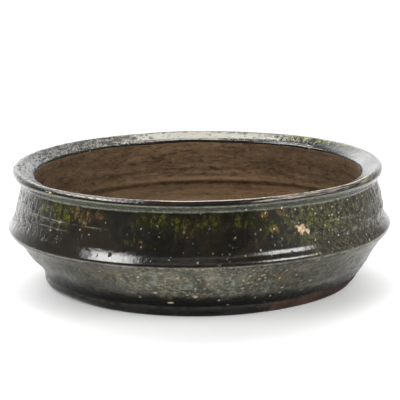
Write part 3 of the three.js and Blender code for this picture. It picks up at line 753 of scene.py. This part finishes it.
def grey_glaze(name):
    """The same glaze thin and dull on the lower wall: olive grey with milky patches and pinholes."""
    t = Tree(name)
    milk, chip, pit, height = (t.value(k) for k in ("milk", "chip", "pit", "height"))
    rust, sand, painted_lightness, cream, edge, flecks = (t.value(k) for k in ("rust", "sand", "tone", "cream", "edge", "flecks"))
    cloud = t.noise(52, 5, 0.62)
    fleck = t.noise(330, 4, 0.65, None, 0.4)
    brush = t.noise(1.0, 5, 0.65, t.scaled(90, 90, 380), 0.6)
    runs = t.noise(1.0, 4, 0.62, t.scaled(170, 170, 42), 0.8)
    colour = t.mix(t.ramp(cloud, 0.36, 0.62), (0.026, 0.025, 0.016), (0.080, 0.076, 0.050))
    colour = t.mix(t.ramp(t.noise(85, 4, 0.65, None, 0.6), 0.50, 0.66, 0, 0.6), colour, (0.086, 0.072, 0.037))
    colour = t.mix(t.ramp(fleck, 0.50, 0.66, 0, 0.9), colour, (0.190, 0.178, 0.122))
    colour = t.mix(t.ramp(fleck, 0.47, 0.33, 0, 0.9), colour, (0.008, 0.008, 0.005))
    colour = t.mix(t.ramp(runs, 0.54, 0.68, 0, 0.5), colour, (0.106, 0.108, 0.080))
    # painted shade: the lower wall darker to either side of the front
    colour = t.mix(t.math("SUBTRACT", 1.0, painted_lightness), colour, (0.010, 0.010, 0.008))
    # brown, sandy and milky patches, all of them broken up
    patch = t.noise(150, 4, 0.7, None, 0.8)
    colour = t.mix(t.math("MULTIPLY", rust, t.ramp(patch, 0.36, 0.62, 0.1, 0.9), clamp=True), colour, (0.085, 0.052, 0.020))
    colour = t.mix(t.math("MULTIPLY", sand, t.ramp(patch, 0.62, 0.36, 0.1, 0.9), clamp=True), colour, (0.19, 0.17, 0.12))
    m = t.math("MULTIPLY", milk, t.ramp(t.noise(1.0, 4, 0.68, t.scaled(150, 150, 75), 0.8), 0.36, 0.62, 0.1, 1.0), clamp=True)
    colour = t.mix(m, colour, (0.135, 0.160, 0.140))
    # rusty and cream flecks of several sizes, wider than high
    dist, pick, tone = t.cells(1.0, 1.0, t.warp(380, 0.0022, 210, 210, 400))
    spot = t.math("MULTIPLY", t.math("LESS_THAN", pick, flecks), t.ramp(dist, 0.42, 0.10))
    colour = t.mix(t.math("MULTIPLY", spot, t.ramp(fleck, 0.25, 0.6, 0.3, 0.9)), colour,
                   t.mix(t.ramp(tone, 0.30, 0.60), (0.075, 0.040, 0.017), (0.30, 0.26, 0.17)))
    # brushed streaks run round the pot, and just above the foot the glaze is drawn black: partly gathered black glaze,
    # partly painted shade in the hollow over the foot
    colour = t.mix(t.math("MULTIPLY", t.ramp(brush, 0.50, 0.66), t.ramp(height, 0.40, 0.20, 0.25, 0.85)), colour, (0.012, 0.012, 0.009))
    low = t.ramp(t.math("ADD", height, t.math("MULTIPLY", t.math("SUBTRACT", t.math("ADD", cloud, brush), 1.0), 0.09)), 0.138, 0.212, 1.0, 0.0)
    colour = t.mix(low, colour, (0.0024, 0.0025, 0.0018))
    colour = t.mix(t.math("MULTIPLY", cream, t.ramp(fleck, 0.3, 0.6, 0.45, 0.95), clamp=True), colour, (0.30, 0.27, 0.19))
    # the pale line under the crest: partly glaze breaking thin, partly a painted highlight
    colour = t.mix(t.math("MULTIPLY", edge, t.ramp(cloud, 0.32, 0.55, 0.35, 0.9)), colour, (0.20, 0.20, 0.165))
    colour = t.mix(t.math("MULTIPLY", pit, 0.85), colour, (0.012, 0.009, 0.006))
    bare = t.mix(t.ramp(t.noise(650, 3, 0.65), 0.35, 0.65), (0.22, 0.125, 0.065), (0.52, 0.40, 0.26))
    colour = t.mix(t.math("MULTIPLY", chip, t.ramp(fleck, 0.2, 0.5, 0.5, 1.0)), colour, bare)
    t.link(colour, t.bsdf.inputs["Base Color"])
    rough = t.ramp(t.noise(70, 4, 0.6), 0.3, 0.75, 0.16, 0.34)
    rough = t.math("SUBTRACT", rough, t.math("MULTIPLY", low, 0.12))
    rough = t.math("ADD", rough, t.math("MULTIPLY", chip, 0.35))
    t.link(rough, t.bsdf.inputs["Roughness"])
    t.bsdf.inputs["IOR"].default_value = 1.2
    # the wall has a shine that the black band lacks
    shine = t.math("MULTIPLY", t.ramp(low, 0.0, 0.8, 1.0, 0.0), t.ramp(painted_lightness, 0.42, 0.85, 0.40, 1.0))
    t.link(shine, t.bsdf.inputs["Coat Weight"])
    t.bsdf.inputs["Coat IOR"].default_value = 1.29
    t.bsdf.inputs["Coat Roughness"].default_value = 0.20
    skin = t.bump(t.noise(240, 4, 0.6), 0.9, 0.0011)
    skin = t.bump(fleck, 0.7, 0.0006, skin)
    skin = t.bump(spot, 0.4, 0.0003, skin)
    t.link(skin, t.bsdf.inputs["Normal"])
    t.link(skin, t.bsdf.inputs["Coat Normal"])
    return t.material


def clay(name):
    """Bare stoneware: warm brown, banded by the throwing, with dark smudges and fine scoring."""
    t = Tree(name)
    ring, skin_share = t.value("ring"), t.value("skin")
    band = t.noise(1.0, 5, 0.62, t.scaled(14, 14, 130), 0.5)
    cloud = t.noise(30, 4, 0.6)
    grain = t.noise(900, 3, 0.7)
    score = t.noise(1.0, 4, 0.65, t.scaled(150, 150, 520), 0.6)
    colour = t.mix(t.ramp(band, 0.34, 0.66), (0.054, 0.0305, 0.0145), (0.108, 0.064, 0.031))
    colour = t.mix(t.ramp(cloud, 0.45, 0.70, 0, 0.6), colour, (0.100, 0.065, 0.033))
    smudge = t.noise(1.0, 4, 0.66, t.scaled(62, 62, 120), 0.9)
    colour = t.mix(t.ramp(smudge, 0.52, 0.68, 0, 0.85), colour, (0.024, 0.0130, 0.0060))
    colour = t.mix(t.ramp(smudge, 0.46, 0.30, 0, 0.7), colour, (0.150, 0.094, 0.049))
    colour = t.mix(t.ramp(score, 0.53, 0.66, 0, 0.85), colour, (0.024, 0.0135, 0.0065))
    colour = t.mix(t.ramp(score, 0.46, 0.32, 0, 0.5), colour, (0.155, 0.100, 0.054))
    colour = t.mix(t.ramp(grain, 0.52, 0.72, 0, 0.6), colour, (0.165, 0.108, 0.058))
    # painted shade: grooves, the hollow under the step and the right of the inside are darker; painted light: the lines
    # that stand out and the wall under the step are paler than the rest
    colour = t.mix(t.ramp(ring, 0.5, 1.0, 0.0, 0.75), colour, (0.026, 0.0140, 0.0070))
    colour = t.mix(t.ramp(ring, 0.5, 0.0, 0.0, 0.80), colour, (0.180, 0.116, 0.062))
    # the same red-brown as the foot where the glaze stops short of it
    raw = t.mix(t.ramp(t.noise(110, 4, 0.62), 0.35, 0.68), (0.014, 0.0075, 0.005), (0.040, 0.018, 0.011))
    colour = t.mix(skin_share, colour, raw)
    t.link(colour, t.bsdf.inputs["Base Color"])
    t.link(t.ramp(grain, 0.3, 0.7, 0.80, 0.96), t.bsdf.inputs["Roughness"])
    t.bsdf.inputs["Specular IOR Level"].default_value = 0.35
    skin = t.bump(score, 0.6, 0.0006)
    skin = t.bump(smudge, 0.5, 0.0012, skin)
    skin = t.bump(grain, 0.5, 0.00035, skin)
    t.link(skin, t.bsdf.inputs["Normal"])
    return t.material


def foot_clay(name):
    """The foot: dark where glaze and ash have stained it, red-brown where the clay is bare."""
    t = Tree(name)
    bare, painted_top_sheen = t.value("bare"), t.value("painted_top_sheen")
    grain = t.noise(700, 3, 0.7)
    cloud = t.noise(60, 4, 0.6)
    stain = t.mix(t.ramp(cloud, 0.4, 0.7), (0.0028, 0.0027, 0.0022), (0.0090, 0.0082, 0.0070))
    # painted reflection: a paler band along the top of the foot, where it mirrors the pale floor
    stain = t.mix(t.math("MULTIPLY", painted_top_sheen, t.ramp(t.noise(140, 4, 0.6), 0.35, 0.6, 0.2, 1.0)), stain, (0.022, 0.020, 0.016))
    raw = t.mix(t.ramp(t.noise(110, 4, 0.62), 0.35, 0.68), (0.020, 0.0125, 0.0095), (0.058, 0.031, 0.022))
    raw = t.mix(t.ramp(grain, 0.5, 0.75, 0, 0.5), raw, (0.075, 0.052, 0.040))
    share = t.ramp(t.math("ADD", bare, t.ramp(t.noise(120, 4, 0.65), 0.2, 0.8, -0.35, 0.35)), 0.32, 0.62)
    t.link(t.mix(share, stain, raw), t.bsdf.inputs["Base Color"])
    t.link(t.ramp(share, 0.0, 1.0, 0.26, 0.88), t.bsdf.inputs["Roughness"])
    t.bsdf.inputs["IOR"].default_value = 1.3
    skin = t.bump(t.noise(210, 4, 0.6), 0.6, 0.0006)
    skin = t.bump(grain, 0.4, 0.0003, skin)
    t.link(skin, t.bsdf.inputs["Normal"])
    return t.material


# ---- clay sections -----------------------------------------------------------------------------
def throwing(s, phi):
    """Depth of the throwing rings inside, and the painted shading: shade painted into each groove, under the step and
    on the wall towards the right, light painted along the step's edge and on the wall below it.
    """
    _, _, z, _, _ = INN.at(s)
    x, y = np.sin(phi), np.cos(phi)
    d = np.zeros(np.broadcast(s, phi).shape)
    painted_shading = np.zeros_like(d)
    grid_z = np.broadcast_to(z, d.shape)
    for k, (height, deep, width, seed) in enumerate((
            (92.0, 0.20, 1.6, 1), (84.0, 0.30, 1.8, 2), (73.0, 0.45, 1.3, 3), (68.3, 0.20, 1.4, 4),
            (52.0, 0.3, 2.2, 6), (45.0, 0.4, 2.2, 7), (36.0, 0.6, 2.2, 8), (28.0, 0.6, 2.2, 9), (21.5, 0.5, 2.0, 10))):
        at = height + 2.0 * noise(1.8 * x, 1.8 * y, seed * 3.1, 80 + seed) + 0.8 * noise(6 * x, 6 * y, seed * 1.7, 84 + seed)
        amount = 0.25 + 0.75 * smooth(-0.35, 0.4, noise(2.6 * x + seed, 2.6 * y, seed, 95 + seed))
        g = np.exp(-((grid_z - at) / width) ** 2)
        d = d - deep * amount * g + 0.45 * deep * amount * np.exp(-((grid_z - at - 3.0) / (1.3 * width)) ** 2)
        # painted shade in each groove
        painted_shading = np.maximum(painted_shading, amount * min(1.0, deep * 1.15) * np.exp(-((grid_z - at + 0.3) / (0.75 * width)) ** 2))
    # a raised line along the top of the step behind the ridge, painted shadow under it, and painted shade on the wall
    # towards the right
    d = d + 0.35 * np.exp(-((grid_z - 63.4) / 1.6) ** 2)
    painted_shading = np.maximum(painted_shading, 0.3 * np.exp(-((grid_z - 60.2) / 1.0) ** 2))
    turn = np.degrees(np.broadcast_to(phi, d.shape))
    painted_shading = np.maximum(painted_shading, 0.5 * smooth(176, 150, turn) * smooth(60, 90, turn))
    # painted highlight along the raised line, most at the back, and painted light on the wall under the step
    painted_light = np.exp(-((grid_z - 65.2) / 3.0) ** 2) * (0.35 + 0.65 * smooth(135, 160, np.abs(turn)))
    painted_light = np.maximum(painted_light, 0.72 * smooth(59.5, 57.0, grid_z))
    return d, painted_shading * (1 - 0.7 * painted_light) - 0.62 * painted_light


def inner_face(s, phi):
    """The bare clay inside: radius, height and the ring value, which carries painted shade and painted light."""
    s2 = np.repeat(s[:, None], len(phi), 1)
    ph = np.repeat(phi[None, :], len(s), 0)
    r, z = inside(s2, ph)
    x, y = r * np.sin(ph), r * np.cos(ph)
    d, painted_shading = throwing(s2, ph)
    d = d + 0.42 * noise(x / 34, y / 34, z / 9, 31) + 0.26 * noise(x / 12, y / 12, z / 5, 32)
    d = d + 0.15 * noise(x / 4, y / 4, z / 2.6, 33) + 0.06 * noise(x / 2, y / 2, z / 1.6, 34)
    floor = smooth(15.5, 12.4, z)
    r, z = inside(s2, ph, d * (1 - 0.6 * floor))
    return r, z, painted_shading


PHI_C = angles(N_CLAY)


def plain(points):
    """Rows of a hidden face from (radius, height) points, the same all round."""
    p = np.array(points, float)
    return np.repeat(p[:, :1], N_CLAY, 1), np.repeat(p[:, 1:], N_CLAY, 1)


def under_glaze(s):
    return outside(np.repeat(np.asarray(s, float)[:, None], N_CLAY, 1), np.repeat(PHI_C[None, :], len(s), 0), -GLAZE)


SEAM_Z = 54.0
S_IN_SEAM = INN.s_at(54.0)
S_IN_NECK = INN.s_at(89.0)
S_IN_FLOOR = INN.s_at(12.6, 130.0)

clay_material = clay("bare_stoneware")
foot_material = foot_clay("foot_stoneware")
dark_material = dark_glaze("green_black_glaze")
grey_material = grey_glaze("olive_grey_glaze")


def clay_ring(name, node, parts, material, skin=False):
    """A section from faces that follow one another round its outline: (r rows, z rows, ring), where
    ring runs from -1 (pale, painted light) to 1 (dark, painted shade). skin says whether the first face has the foot's
    own colour."""
    r = np.vstack([p[0] for p in parts])
    z = np.vstack([p[1] for p in parts])
    ring = 0.5 + 0.5 * np.vstack([p[2] if len(p) > 2 else np.zeros_like(p[0]) for p in parts])
    foot_like = np.zeros_like(ring)
    foot_like[:len(parts[0][0])] = float(skin)
    edges, at = [], 0
    for p in parts:
        edges += [at, at + len(p[0]) - 1]
        at += len(p[0])
    obj = revolve(name, r, z, PHI_C, material, sharp=sorted(set(edges)), values={"ring": ring, "skin": foot_like})
    return add_piece(obj, node)


# lower wall: outer face behind the glaze, crest seam with its groove, inner face, seat on the foot
S_FOOT_TOP = S_FOOT
lower_out = under_glaze(rows(S_FOOT_TOP, S_CREST, 2.4, tight_b=False))
lower_in = inner_face(rows(S_IN_SEAM, S_IN_FLOOR, 0.95), PHI_C)
crest_r, crest_z = lower_out[0][-1:], lower_out[1][-1:]
in_r, in_z = lower_in[0][:1], lower_in[1][:1]


def seam_rows(dz):
    r, z = plain([(175.0, SEAM_Z), (171.5, SEAM_Z - 4.0), (168.0, SEAM_Z)])
    return r, z + dz


foot_top_r = lower_out[0][:1]
seat = plain([(132.0, 10.05)])
lower_wall = clay_ring("lower_wall", "lower_wall", [
    lower_out, seam_rows(-0.05), lower_in,
    (seat[0], seat[1]),
], clay_material, skin=True)

# upper wall: outer face behind the glaze, bevel under the lip, inner face, crest seam with its tongue
upper_out = under_glaze(rows(S_CREST, S_NECK, 2.4, tight_a=False, tight_b=False))
upper_in = inner_face(rows(S_IN_NECK, S_IN_SEAM, 0.9), PHI_C)
tongue = seam_rows(0.05)
upper_wall = clay_ring("upper_wall", "upper_wall", [
    upper_out, upper_in, (tongue[0][::-1], tongue[1][::-1]),
], clay_material)

# rim lip: outer face behind the glaze, over the top and in at the mouth, then the bare inside of the mouth
rim_out = under_glaze(rows(S_NECK, OUT.s_at(100.9, 152.7), 1.6, tight_a=False, tight_b=False))
mouth_in = inner_face(rows(INN.s_at(100.6), S_IN_NECK, 0.6), PHI_C)
rim_lip = clay_ring("rim_lip", "rim_lip", [rim_out, mouth_in], clay_material)

# foot ring: outer face, flat underside, inner face, seat under the wall
foot_s = rows(OUT.s[2], S_FOOT_TOP, 0.6, tight_a=False)
fs = np.repeat(foot_s[:, None], N_CLAY, 1)
fp = np.repeat(PHI_C[None, :], len(foot_s), 0)
fr, fz = outside(fs, fp)
fx, fy = fr * np.sin(fp), fr * np.cos(fp)
fd = 0.30 * noise(fx / 30, fy / 30, fz / 6, 51) + 0.16 * noise(fx / 7, fy / 7, fz / 5, 52) + 0.07 * noise(fx / 3, fy / 3, fz / 3, 53)
fd = fd + 0.35 * smooth(0.15, 0.6, noise(fx / 9, fy / 9, fz / 4.5, 54))
fr, fz = outside(fs, fp, fd * smooth(0.2, 2.5, fz) * smooth(9.6, 7.6, fz) - (GLAZE - 0.02) * smooth(6.0, 8.6, fz))
under = plain([(133.0, 0.0), (135.5, 0.0)])
inner = plain([(132.0, 10.0), (132.0, 6.0), (132.0, 1.5)])
fr = np.vstack([fr, inner[0], under[0]])
fz = np.vstack([np.maximum(fz, 0.0), inner[1], under[1]])
foot_deg = np.degrees(np.repeat(PHI_C[None, :], len(fr), 0))
bare = 0.05 + 0.95 * smooth(14, 36, foot_deg) * smooth(150, 100, foot_deg)
bare = bare + 0.45 * (smooth(0.0, 0.5, noise(2.2 * np.sin(PHI_C), 2.2 * np.cos(PHI_C), 1.0, 55)) * smooth(90, 110, np.abs(np.degrees(PHI_C))))[None, :]
bare[len(foot_s):] = 1.0
# where the paler band is painted along the top of the foot: a painted reflection of the floor
painted_top_sheen = np.exp(-((fz - 7.8) / 1.3) ** 2)
n_foot = len(foot_s)
foot_ring = revolve("foot_ring", fr, fz, PHI_C, foot_material,
                    sharp=(n_foot - 1, n_foot, n_foot + 2, n_foot + 3), values={"bare": bare, "painted_top_sheen": painted_top_sheen})
add_piece(foot_ring, "foot_ring")

# floor: top with a thrown spiral and a softened drain hole, flat underside
floor_r = np.concatenate([np.linspace(131.95, 120, 10), np.linspace(118.5, 17.5, 84), [16.2, 15.2, 14.4, 13.7, 13.1, 12.7, 12.5]])
top_r = np.repeat(floor_r[:, None], N_CLAY, 1)
top_p = np.repeat(PHI_C[None, :], len(floor_r), 0)
edge_r, edge_z, _ = inner_face(np.array([S_IN_FLOOR]), PHI_C)
profile_z = np.interp(floor_r, INN.mean[:60], INN.z[:60])
top_z = np.repeat(profile_z[:, None], N_CLAY, 1)
spiral = np.cos(TAU * (top_r / 10.5 + top_p / TAU) + 0.9 * noise(top_r / 25, 2 * np.sin(top_p), 2 * np.cos(top_p), 57))
fx, fy = top_r * np.sin(top_p), top_r * np.cos(top_p)
fade = smooth(126, 112, top_r) * smooth(18, 30, top_r)
top_z = top_z + fade * (0.42 * spiral + 0.35 * noise(fx / 30, fy / 30, 0, 58)) + 0.10 * noise(fx / 5, fy / 5, 0, 59) * smooth(131, 125, top_r)
hole = np.clip((17.5 - top_r) / 5.0, 0, 1)
top_z = top_z - 2.3 * hole ** 2
top_z = np.where(top_r > 125, top_z + (edge_z[0][None, :] - np.interp(131.95, INN.mean[:60], INN.z[:60])) * smooth(125, 131.9, top_r), top_z)
# painted shade in the spiral's grooves, and paler towards the wall
ring_value = fade * smooth(0.35, -0.9, spiral) * (0.30 + 0.25 * noise(fx / 40, fy / 40, 0, 49)) - 0.45 * smooth(95, 131.9, top_r)
under = plain([(12.5, 6.0), (12.6, 3.9), (13.4, 3.0), (70.0, 3.0), (131.95, 3.0)])
# anticlockwise in the radius-height plane: outwards along the underside, up, inwards along the top
floor_slab = clay_ring("floor_slab", "floor_slab", [
    under, (top_r, top_z, ring_value),
], clay_material)

# ---- glaze coats -------------------------------------------------------------------------------
PHI_G = angles(N_GLAZE, 0.4)
deg = np.degrees(PHI_G)
low_z = 9.5 + 0.9 * smooth(22, 46, deg) * smooth(165, 120, deg) + 0.7 * noise(3 * np.sin(PHI_G), 3 * np.cos(PHI_G), 0, 61) \
    + 0.5 * noise(9 * np.sin(PHI_G), 9 * np.cos(PHI_G), 0, 62) + 0.3 * noise(24 * np.sin(PHI_G), 24 * np.cos(PHI_G), 0, 65)
half = OUT.s < S_CREST
low_s = np.interp(np.maximum(low_z, 8.9), OUT.z[half], OUT.s[half])
mouth_s = S_MOUTH - 0.6 + 0.8 * noise(2.5 * np.sin(PHI_G), 2.5 * np.cos(PHI_G), 5, 63) + 0.6 * noise(8 * np.sin(PHI_G), 8 * np.cos(PHI_G), 5, 64)
upper_length = S_NECK - S_CREST
lower_length = float(np.mean(S_CREST - low_s))
rim_length = float(np.mean(mouth_s - S_NECK))
glaze_coat("glaze_lower", "glaze_lower", low_s, S_CREST, grey_material,
           [(6.0, 0.6), (lower_length - 10.0, 0.9), (4.0, 0.4)], ends=(True, False))
glaze_coat("glaze_upper", "glaze_upper", S_CREST, S_NECK, dark_material,
           [(4.0, 0.33), (10.0, 0.6), (upper_length - 18.0, 0.85), (4.0, 0.5)])
glaze_coat("glaze_rim", "glaze_rim", S_NECK, mouth_s, dark_material,
           [(3.0, 0.4), (17.0, 0.55), (rim_length - 24.0, 0.8), (4.0, 0.5)], ends=(False, True))

# ---- stage -------------------------------------------------------------------------------------
def floor_disc(radius=2.2, n=96):
    mesh = bpy.data.meshes.new("floor")
    ring = [(radius * math.cos(TAU * k / n), radius * math.sin(TAU * k / n), 0.0) for k in range(n)]
    mesh.from_pydata(ring, [], [list(range(n))])
    obj = bpy.data.objects.new("floor", mesh)
    bpy.context.scene.collection.objects.link(obj)
    mat = bpy.data.materials.new("pale_floor")
    mat.use_nodes = True
    nt = mat.node_tree
    b = nt.nodes["Principled BSDF"]
    b.inputs["Base Color"].default_value = (0.86, 0.86, 0.86, 1)
    b.inputs["Roughness"].default_value = 0.9
    b.inputs["Specular IOR Level"].default_value = 0.1
    # the sheet fades out into the white surroundings, sooner on the near side
    co = nt.nodes.new("ShaderNodeTexCoord")
    length = nt.nodes.new("ShaderNodeVectorMath")
    length.operation = "LENGTH"
    nt.links.new(co.outputs["Object"], length.inputs[0])
    parts = nt.nodes.new("ShaderNodeSeparateXYZ")
    nt.links.new(co.outputs["Object"], parts.inputs[0])
    both = nt.nodes.new("ShaderNodeMath")
    both.operation = "MULTIPLY"
    for k, (source, near, far) in enumerate(((length.outputs["Value"], 0.62, 0.36), (parts.outputs["Y"], -0.60, -0.38))):
        fade = nt.nodes.new("ShaderNodeMapRange")
        fade.interpolation_type = "SMOOTHSTEP"
        fade.inputs["From Min"].default_value, fade.inputs["From Max"].default_value = near, far
        nt.links.new(source, fade.inputs["Value"])
        nt.links.new(fade.outputs[0], both.inputs[k])
    nt.links.new(both.outputs[0], b.inputs["Alpha"])
    mesh.materials.append(mat)
    return obj


floor_disc()


def softbox(name, at, aim, along, width, height, radiance, colour=(1, 1, 1)):
    """A rectangle that faces aim, its width along the given direction, as bright as radiance."""
    data = bpy.data.lights.new(name, "AREA")
    data.shape = "RECTANGLE"
    data.size, data.size_y, data.color = width, height, colour
    data.energy = radiance * math.pi * width * height
    obj = bpy.data.objects.new(name, data)
    back = (Vector(at) - Vector(aim)).normalized()
    across = Vector(along)
    across = (across - back * across.dot(back)).normalized()
    over = back.cross(across)
    obj.matrix_world = Matrix((
        (across.x, over.x, back.x, at[0]), (across.y, over.y, back.y, at[1]), (across.z, over.z, back.z, at[2]), (0, 0, 0, 1)))
    obj.visible_camera = False
    bpy.context.scene.collection.objects.link(obj)
    # the sheet under the pot is lit by the dome alone
    obj.light_linking.receiver_collection = pot_only
    return obj


pot_only = bpy.data.collections.new("pot_only")
for piece in PIECES:
    pot_only.objects.link(piece)

# a long softbox high on the left and a broad one behind
softbox("light_left", (-1.23, -0.549, 1.319), (-0.081, -0.158, 0.058), (0.588, -0.749, 0.304), 0.86, 0.50, 15).visible_glossy = False
softbox("light_back", (0.05, 0.88, 1.36), (0, 0, 0.10), (1, 0, 0), 0.46, 0.78, 8.3, (1.0, 0.97, 0.85))

world = bpy.data.worlds.new("studio")
bpy.context.scene.world = world
world.use_nodes = True
wt = world.node_tree
wt.nodes.clear()


def w_node(kind, **values):
    n = wt.nodes.new(kind)
    for key, v in values.items():
        setattr(n, key, v)
    return n


def w_ramp(x, a, b, low=0.0, high=1.0):
    n = w_node("ShaderNodeMapRange", interpolation_type="SMOOTHSTEP")
    wt.links.new(x, n.inputs["Value"])
    for key, v in (("From Min", a), ("From Max", b), ("To Min", low), ("To Max", high)):
        n.inputs[key].default_value = v
    return n.outputs[0]


def w_math(op, a, b):
    n = w_node("ShaderNodeMath", operation=op)
    for k, v in enumerate((a, b)):
        if isinstance(v, bpy.types.NodeSocket):
            wt.links.new(v, n.inputs[k])
        else:
            n.inputs[k].default_value = v
    return n.outputs[0]


def w_blob(direction, inner, outer, strength):
    """A soft round panel: strength inside the angle inner (degrees), none outside outer."""
    n = w_node("ShaderNodeVectorMath", operation="DOT_PRODUCT")
    wt.links.new(w_co.outputs["Generated"], n.inputs[0])
    n.inputs[1].default_value = Vector(direction).normalized()
    return w_ramp(n.outputs["Value"], math.cos(math.radians(outer)), math.cos(math.radians(inner)), 0.0, strength)


def w_panel(direction, along, half_width, half_height, soft, strength):
    """A rectangular panel far off in the given direction, sized by the tangents of its half-angles."""
    middle = Vector(direction).normalized()
    across = Vector(along)
    across = (across - middle * across.dot(middle)).normalized()
    dots = []
    for axis in (middle, across, middle.cross(across)):
        n = w_node("ShaderNodeVectorMath", operation="DOT_PRODUCT")
        wt.links.new(w_co.outputs["Generated"], n.inputs[0])
        n.inputs[1].default_value = axis
        dots.append(n.outputs["Value"])
    ahead = w_math("MAXIMUM", dots[0], 0.001)
    mask = w_ramp(dots[0], 0.2, 0.3, 0.0, strength)
    for axis, half, blur in ((dots[1], half_width, soft[0]), (dots[2], half_height, soft[1])):
        off = w_math("ABSOLUTE", w_math("DIVIDE", axis, ahead), 0.0)
        mask = w_math("MULTIPLY", mask, w_ramp(off, half + blur, half - blur))
    return mask


w_out = w_node("ShaderNodeOutputWorld")
w_co = w_node("ShaderNodeTexCoord")
w_xyz = w_node("ShaderNodeSeparateXYZ")
wt.links.new(w_co.outputs["Generated"], w_xyz.inputs[0])
# what the glaze mirrors: a pale backdrop behind the pot, a dark room at the sides, in front and overhead
backdrop = w_math("MULTIPLY", w_ramp(w_xyz.outputs["Y"], 0.70, 0.94), w_ramp(w_xyz.outputs["Z"], 0.62, 0.20))
mirror = w_math("ADD", w_math("MULTIPLY", backdrop, 1.30), w_ramp(w_xyz.outputs["X"], 0.35, 0.85, 0.04, 0.42))
mirror = w_math("ADD", mirror, w_ramp(w_xyz.outputs["X"], -0.40, -0.85, 0.0, 0.16))
# a soft panel on each side for the ridge, and two small ones that catch the edge of the lip
mirror = w_math("ADD", mirror, w_panel((0.690, -0.378, 0.617), (0.619, 0.748, -0.237), 0.21, 0.13, (0.14, 0.11), 13.5))
mirror = w_math("ADD", mirror, w_panel((0, -0.59, 0.81), (1, 0, 0), 0.75, 0.10, (0.25, 0.08), 0.6))
mirror = w_math("ADD", mirror, w_panel((-0.66, -0.29, 0.69), (0.60, -0.74, 0.30), 0.20, 0.16, (0.10, 0.14), 14.5))
mirror = w_math("ADD", mirror, w_blob((-0.52, 0.33, 0.79), 9, 18, 9.0))
mirror = w_math("ADD", mirror, w_blob((0.52, 0.33, 0.79), 9, 18, 3.0))
mirror = w_math("ADD", mirror, w_blob((-0.25, 0.86, 0.43), 7, 16, 1.7))
left_wall = w_math("MULTIPLY", w_ramp(w_xyz.outputs["Y"], 0.30, 0.85), w_ramp(w_xyz.outputs["X"], -0.20, -0.50))
left_wall = w_math("MULTIPLY", left_wall, w_ramp(w_xyz.outputs["Z"], 0.62, 0.20))
mirror = w_math("ADD", mirror, left_wall)
mirror = w_math("ADD", mirror, w_blob((0.30, 0.78, 0.55), 6, 18, 0.35))
mirror = w_math("ADD", mirror, w_blob((-0.37, 0.44, 0.82), 5, 18, 1.2))
room = w_node("ShaderNodeBackground")
wt.links.new(mirror, room.inputs["Strength"])
# what lights the clay and the floor: soft panels all round, and the pale ground beyond the sheet
glow = w_ramp(w_xyz.outputs["Z"], 0.02, -0.05, 0.0, 1.3)
for direction, inner, outer, strength in (
        ((0, -0.985, 0.174), 12, 38, 3.2), ((0.75, -0.433, 0.50), 10, 34, 4.2), ((-0.765, -0.441, 0.469), 10, 34, 2.85),
        ((-0.557, -0.321, 0.766), 10, 34, 0.93), ((0, 0.866, 0.50), 15, 45, 6.0), ((-0.75, 0.433, 0.50), 12, 38, 1.75),
        ((0.75, 0.433, 0.50), 12, 38, 0.56)):
    glow = w_math("ADD", glow, w_blob(direction, inner, outer, strength))
dome = w_node("ShaderNodeBackground")
wt.links.new(glow, dome.inputs["Strength"])
seen = w_node("ShaderNodeBackground")
seen.inputs["Strength"].default_value = 1.05
for n in (room, dome, seen):
    n.inputs["Color"].default_value = (1, 1, 1, 1)
path = w_node("ShaderNodeLightPath")
kind = w_node("ShaderNodeMixShader")
wt.links.new(path.outputs["Is Glossy Ray"], kind.inputs[0])
wt.links.new(dome.outputs[0], kind.inputs[1])
wt.links.new(room.outputs[0], kind.inputs[2])
either = w_node("ShaderNodeMixShader")
wt.links.new(path.outputs["Is Camera Ray"], either.inputs[0])
wt.links.new(kind.outputs[0], either.inputs[1])
wt.links.new(seen.outputs[0], either.inputs[2])
wt.links.new(either.outputs[0], w_out.inputs["Surface"])
world.cycles.sampling_method = "NONE"

scene = bpy.context.scene
scene.view_settings.view_transform = "Standard"
scene.view_settings.look = "None"

# ---- camera ------------------------------------------------------------------------------------
cam_data = bpy.data.cameras.new("camera")
cam = bpy.data.objects.new("camera", cam_data)
scene.collection.objects.link(cam)
elevation, roll, yaw = math.radians(11.99), math.radians(-0.76), 1.86 / 1908.2
distance, aim_z = 1.800, 0.07363
cam_data.sensor_width = 36.0
cam_data.lens = 36.0 * 1908.2 / 400.0
cam_data.clip_start, cam_data.clip_end = 0.05, 50.0
forward = Vector((0, math.cos(elevation), -math.sin(elevation)))
side = Vector((1, 0, 0))
up = side.cross(forward)
side, up = math.cos(roll) * side + math.sin(roll) * up, -math.sin(roll) * side + math.cos(roll) * up
turned = (forward + side * yaw).normalized()
side = (side - turned * side.dot(turned)).normalized()
up = side.cross(turned)
cam.matrix_world = Matrix((
    (side.x, up.x, -turned.x, 0.0),
    (side.y, up.y, -turned.y, -distance * math.cos(elevation)),
    (side.z, up.z, -turned.z, aim_z + distance * math.sin(elevation)),
    (0, 0, 0, 1)))
scene.camera = cam
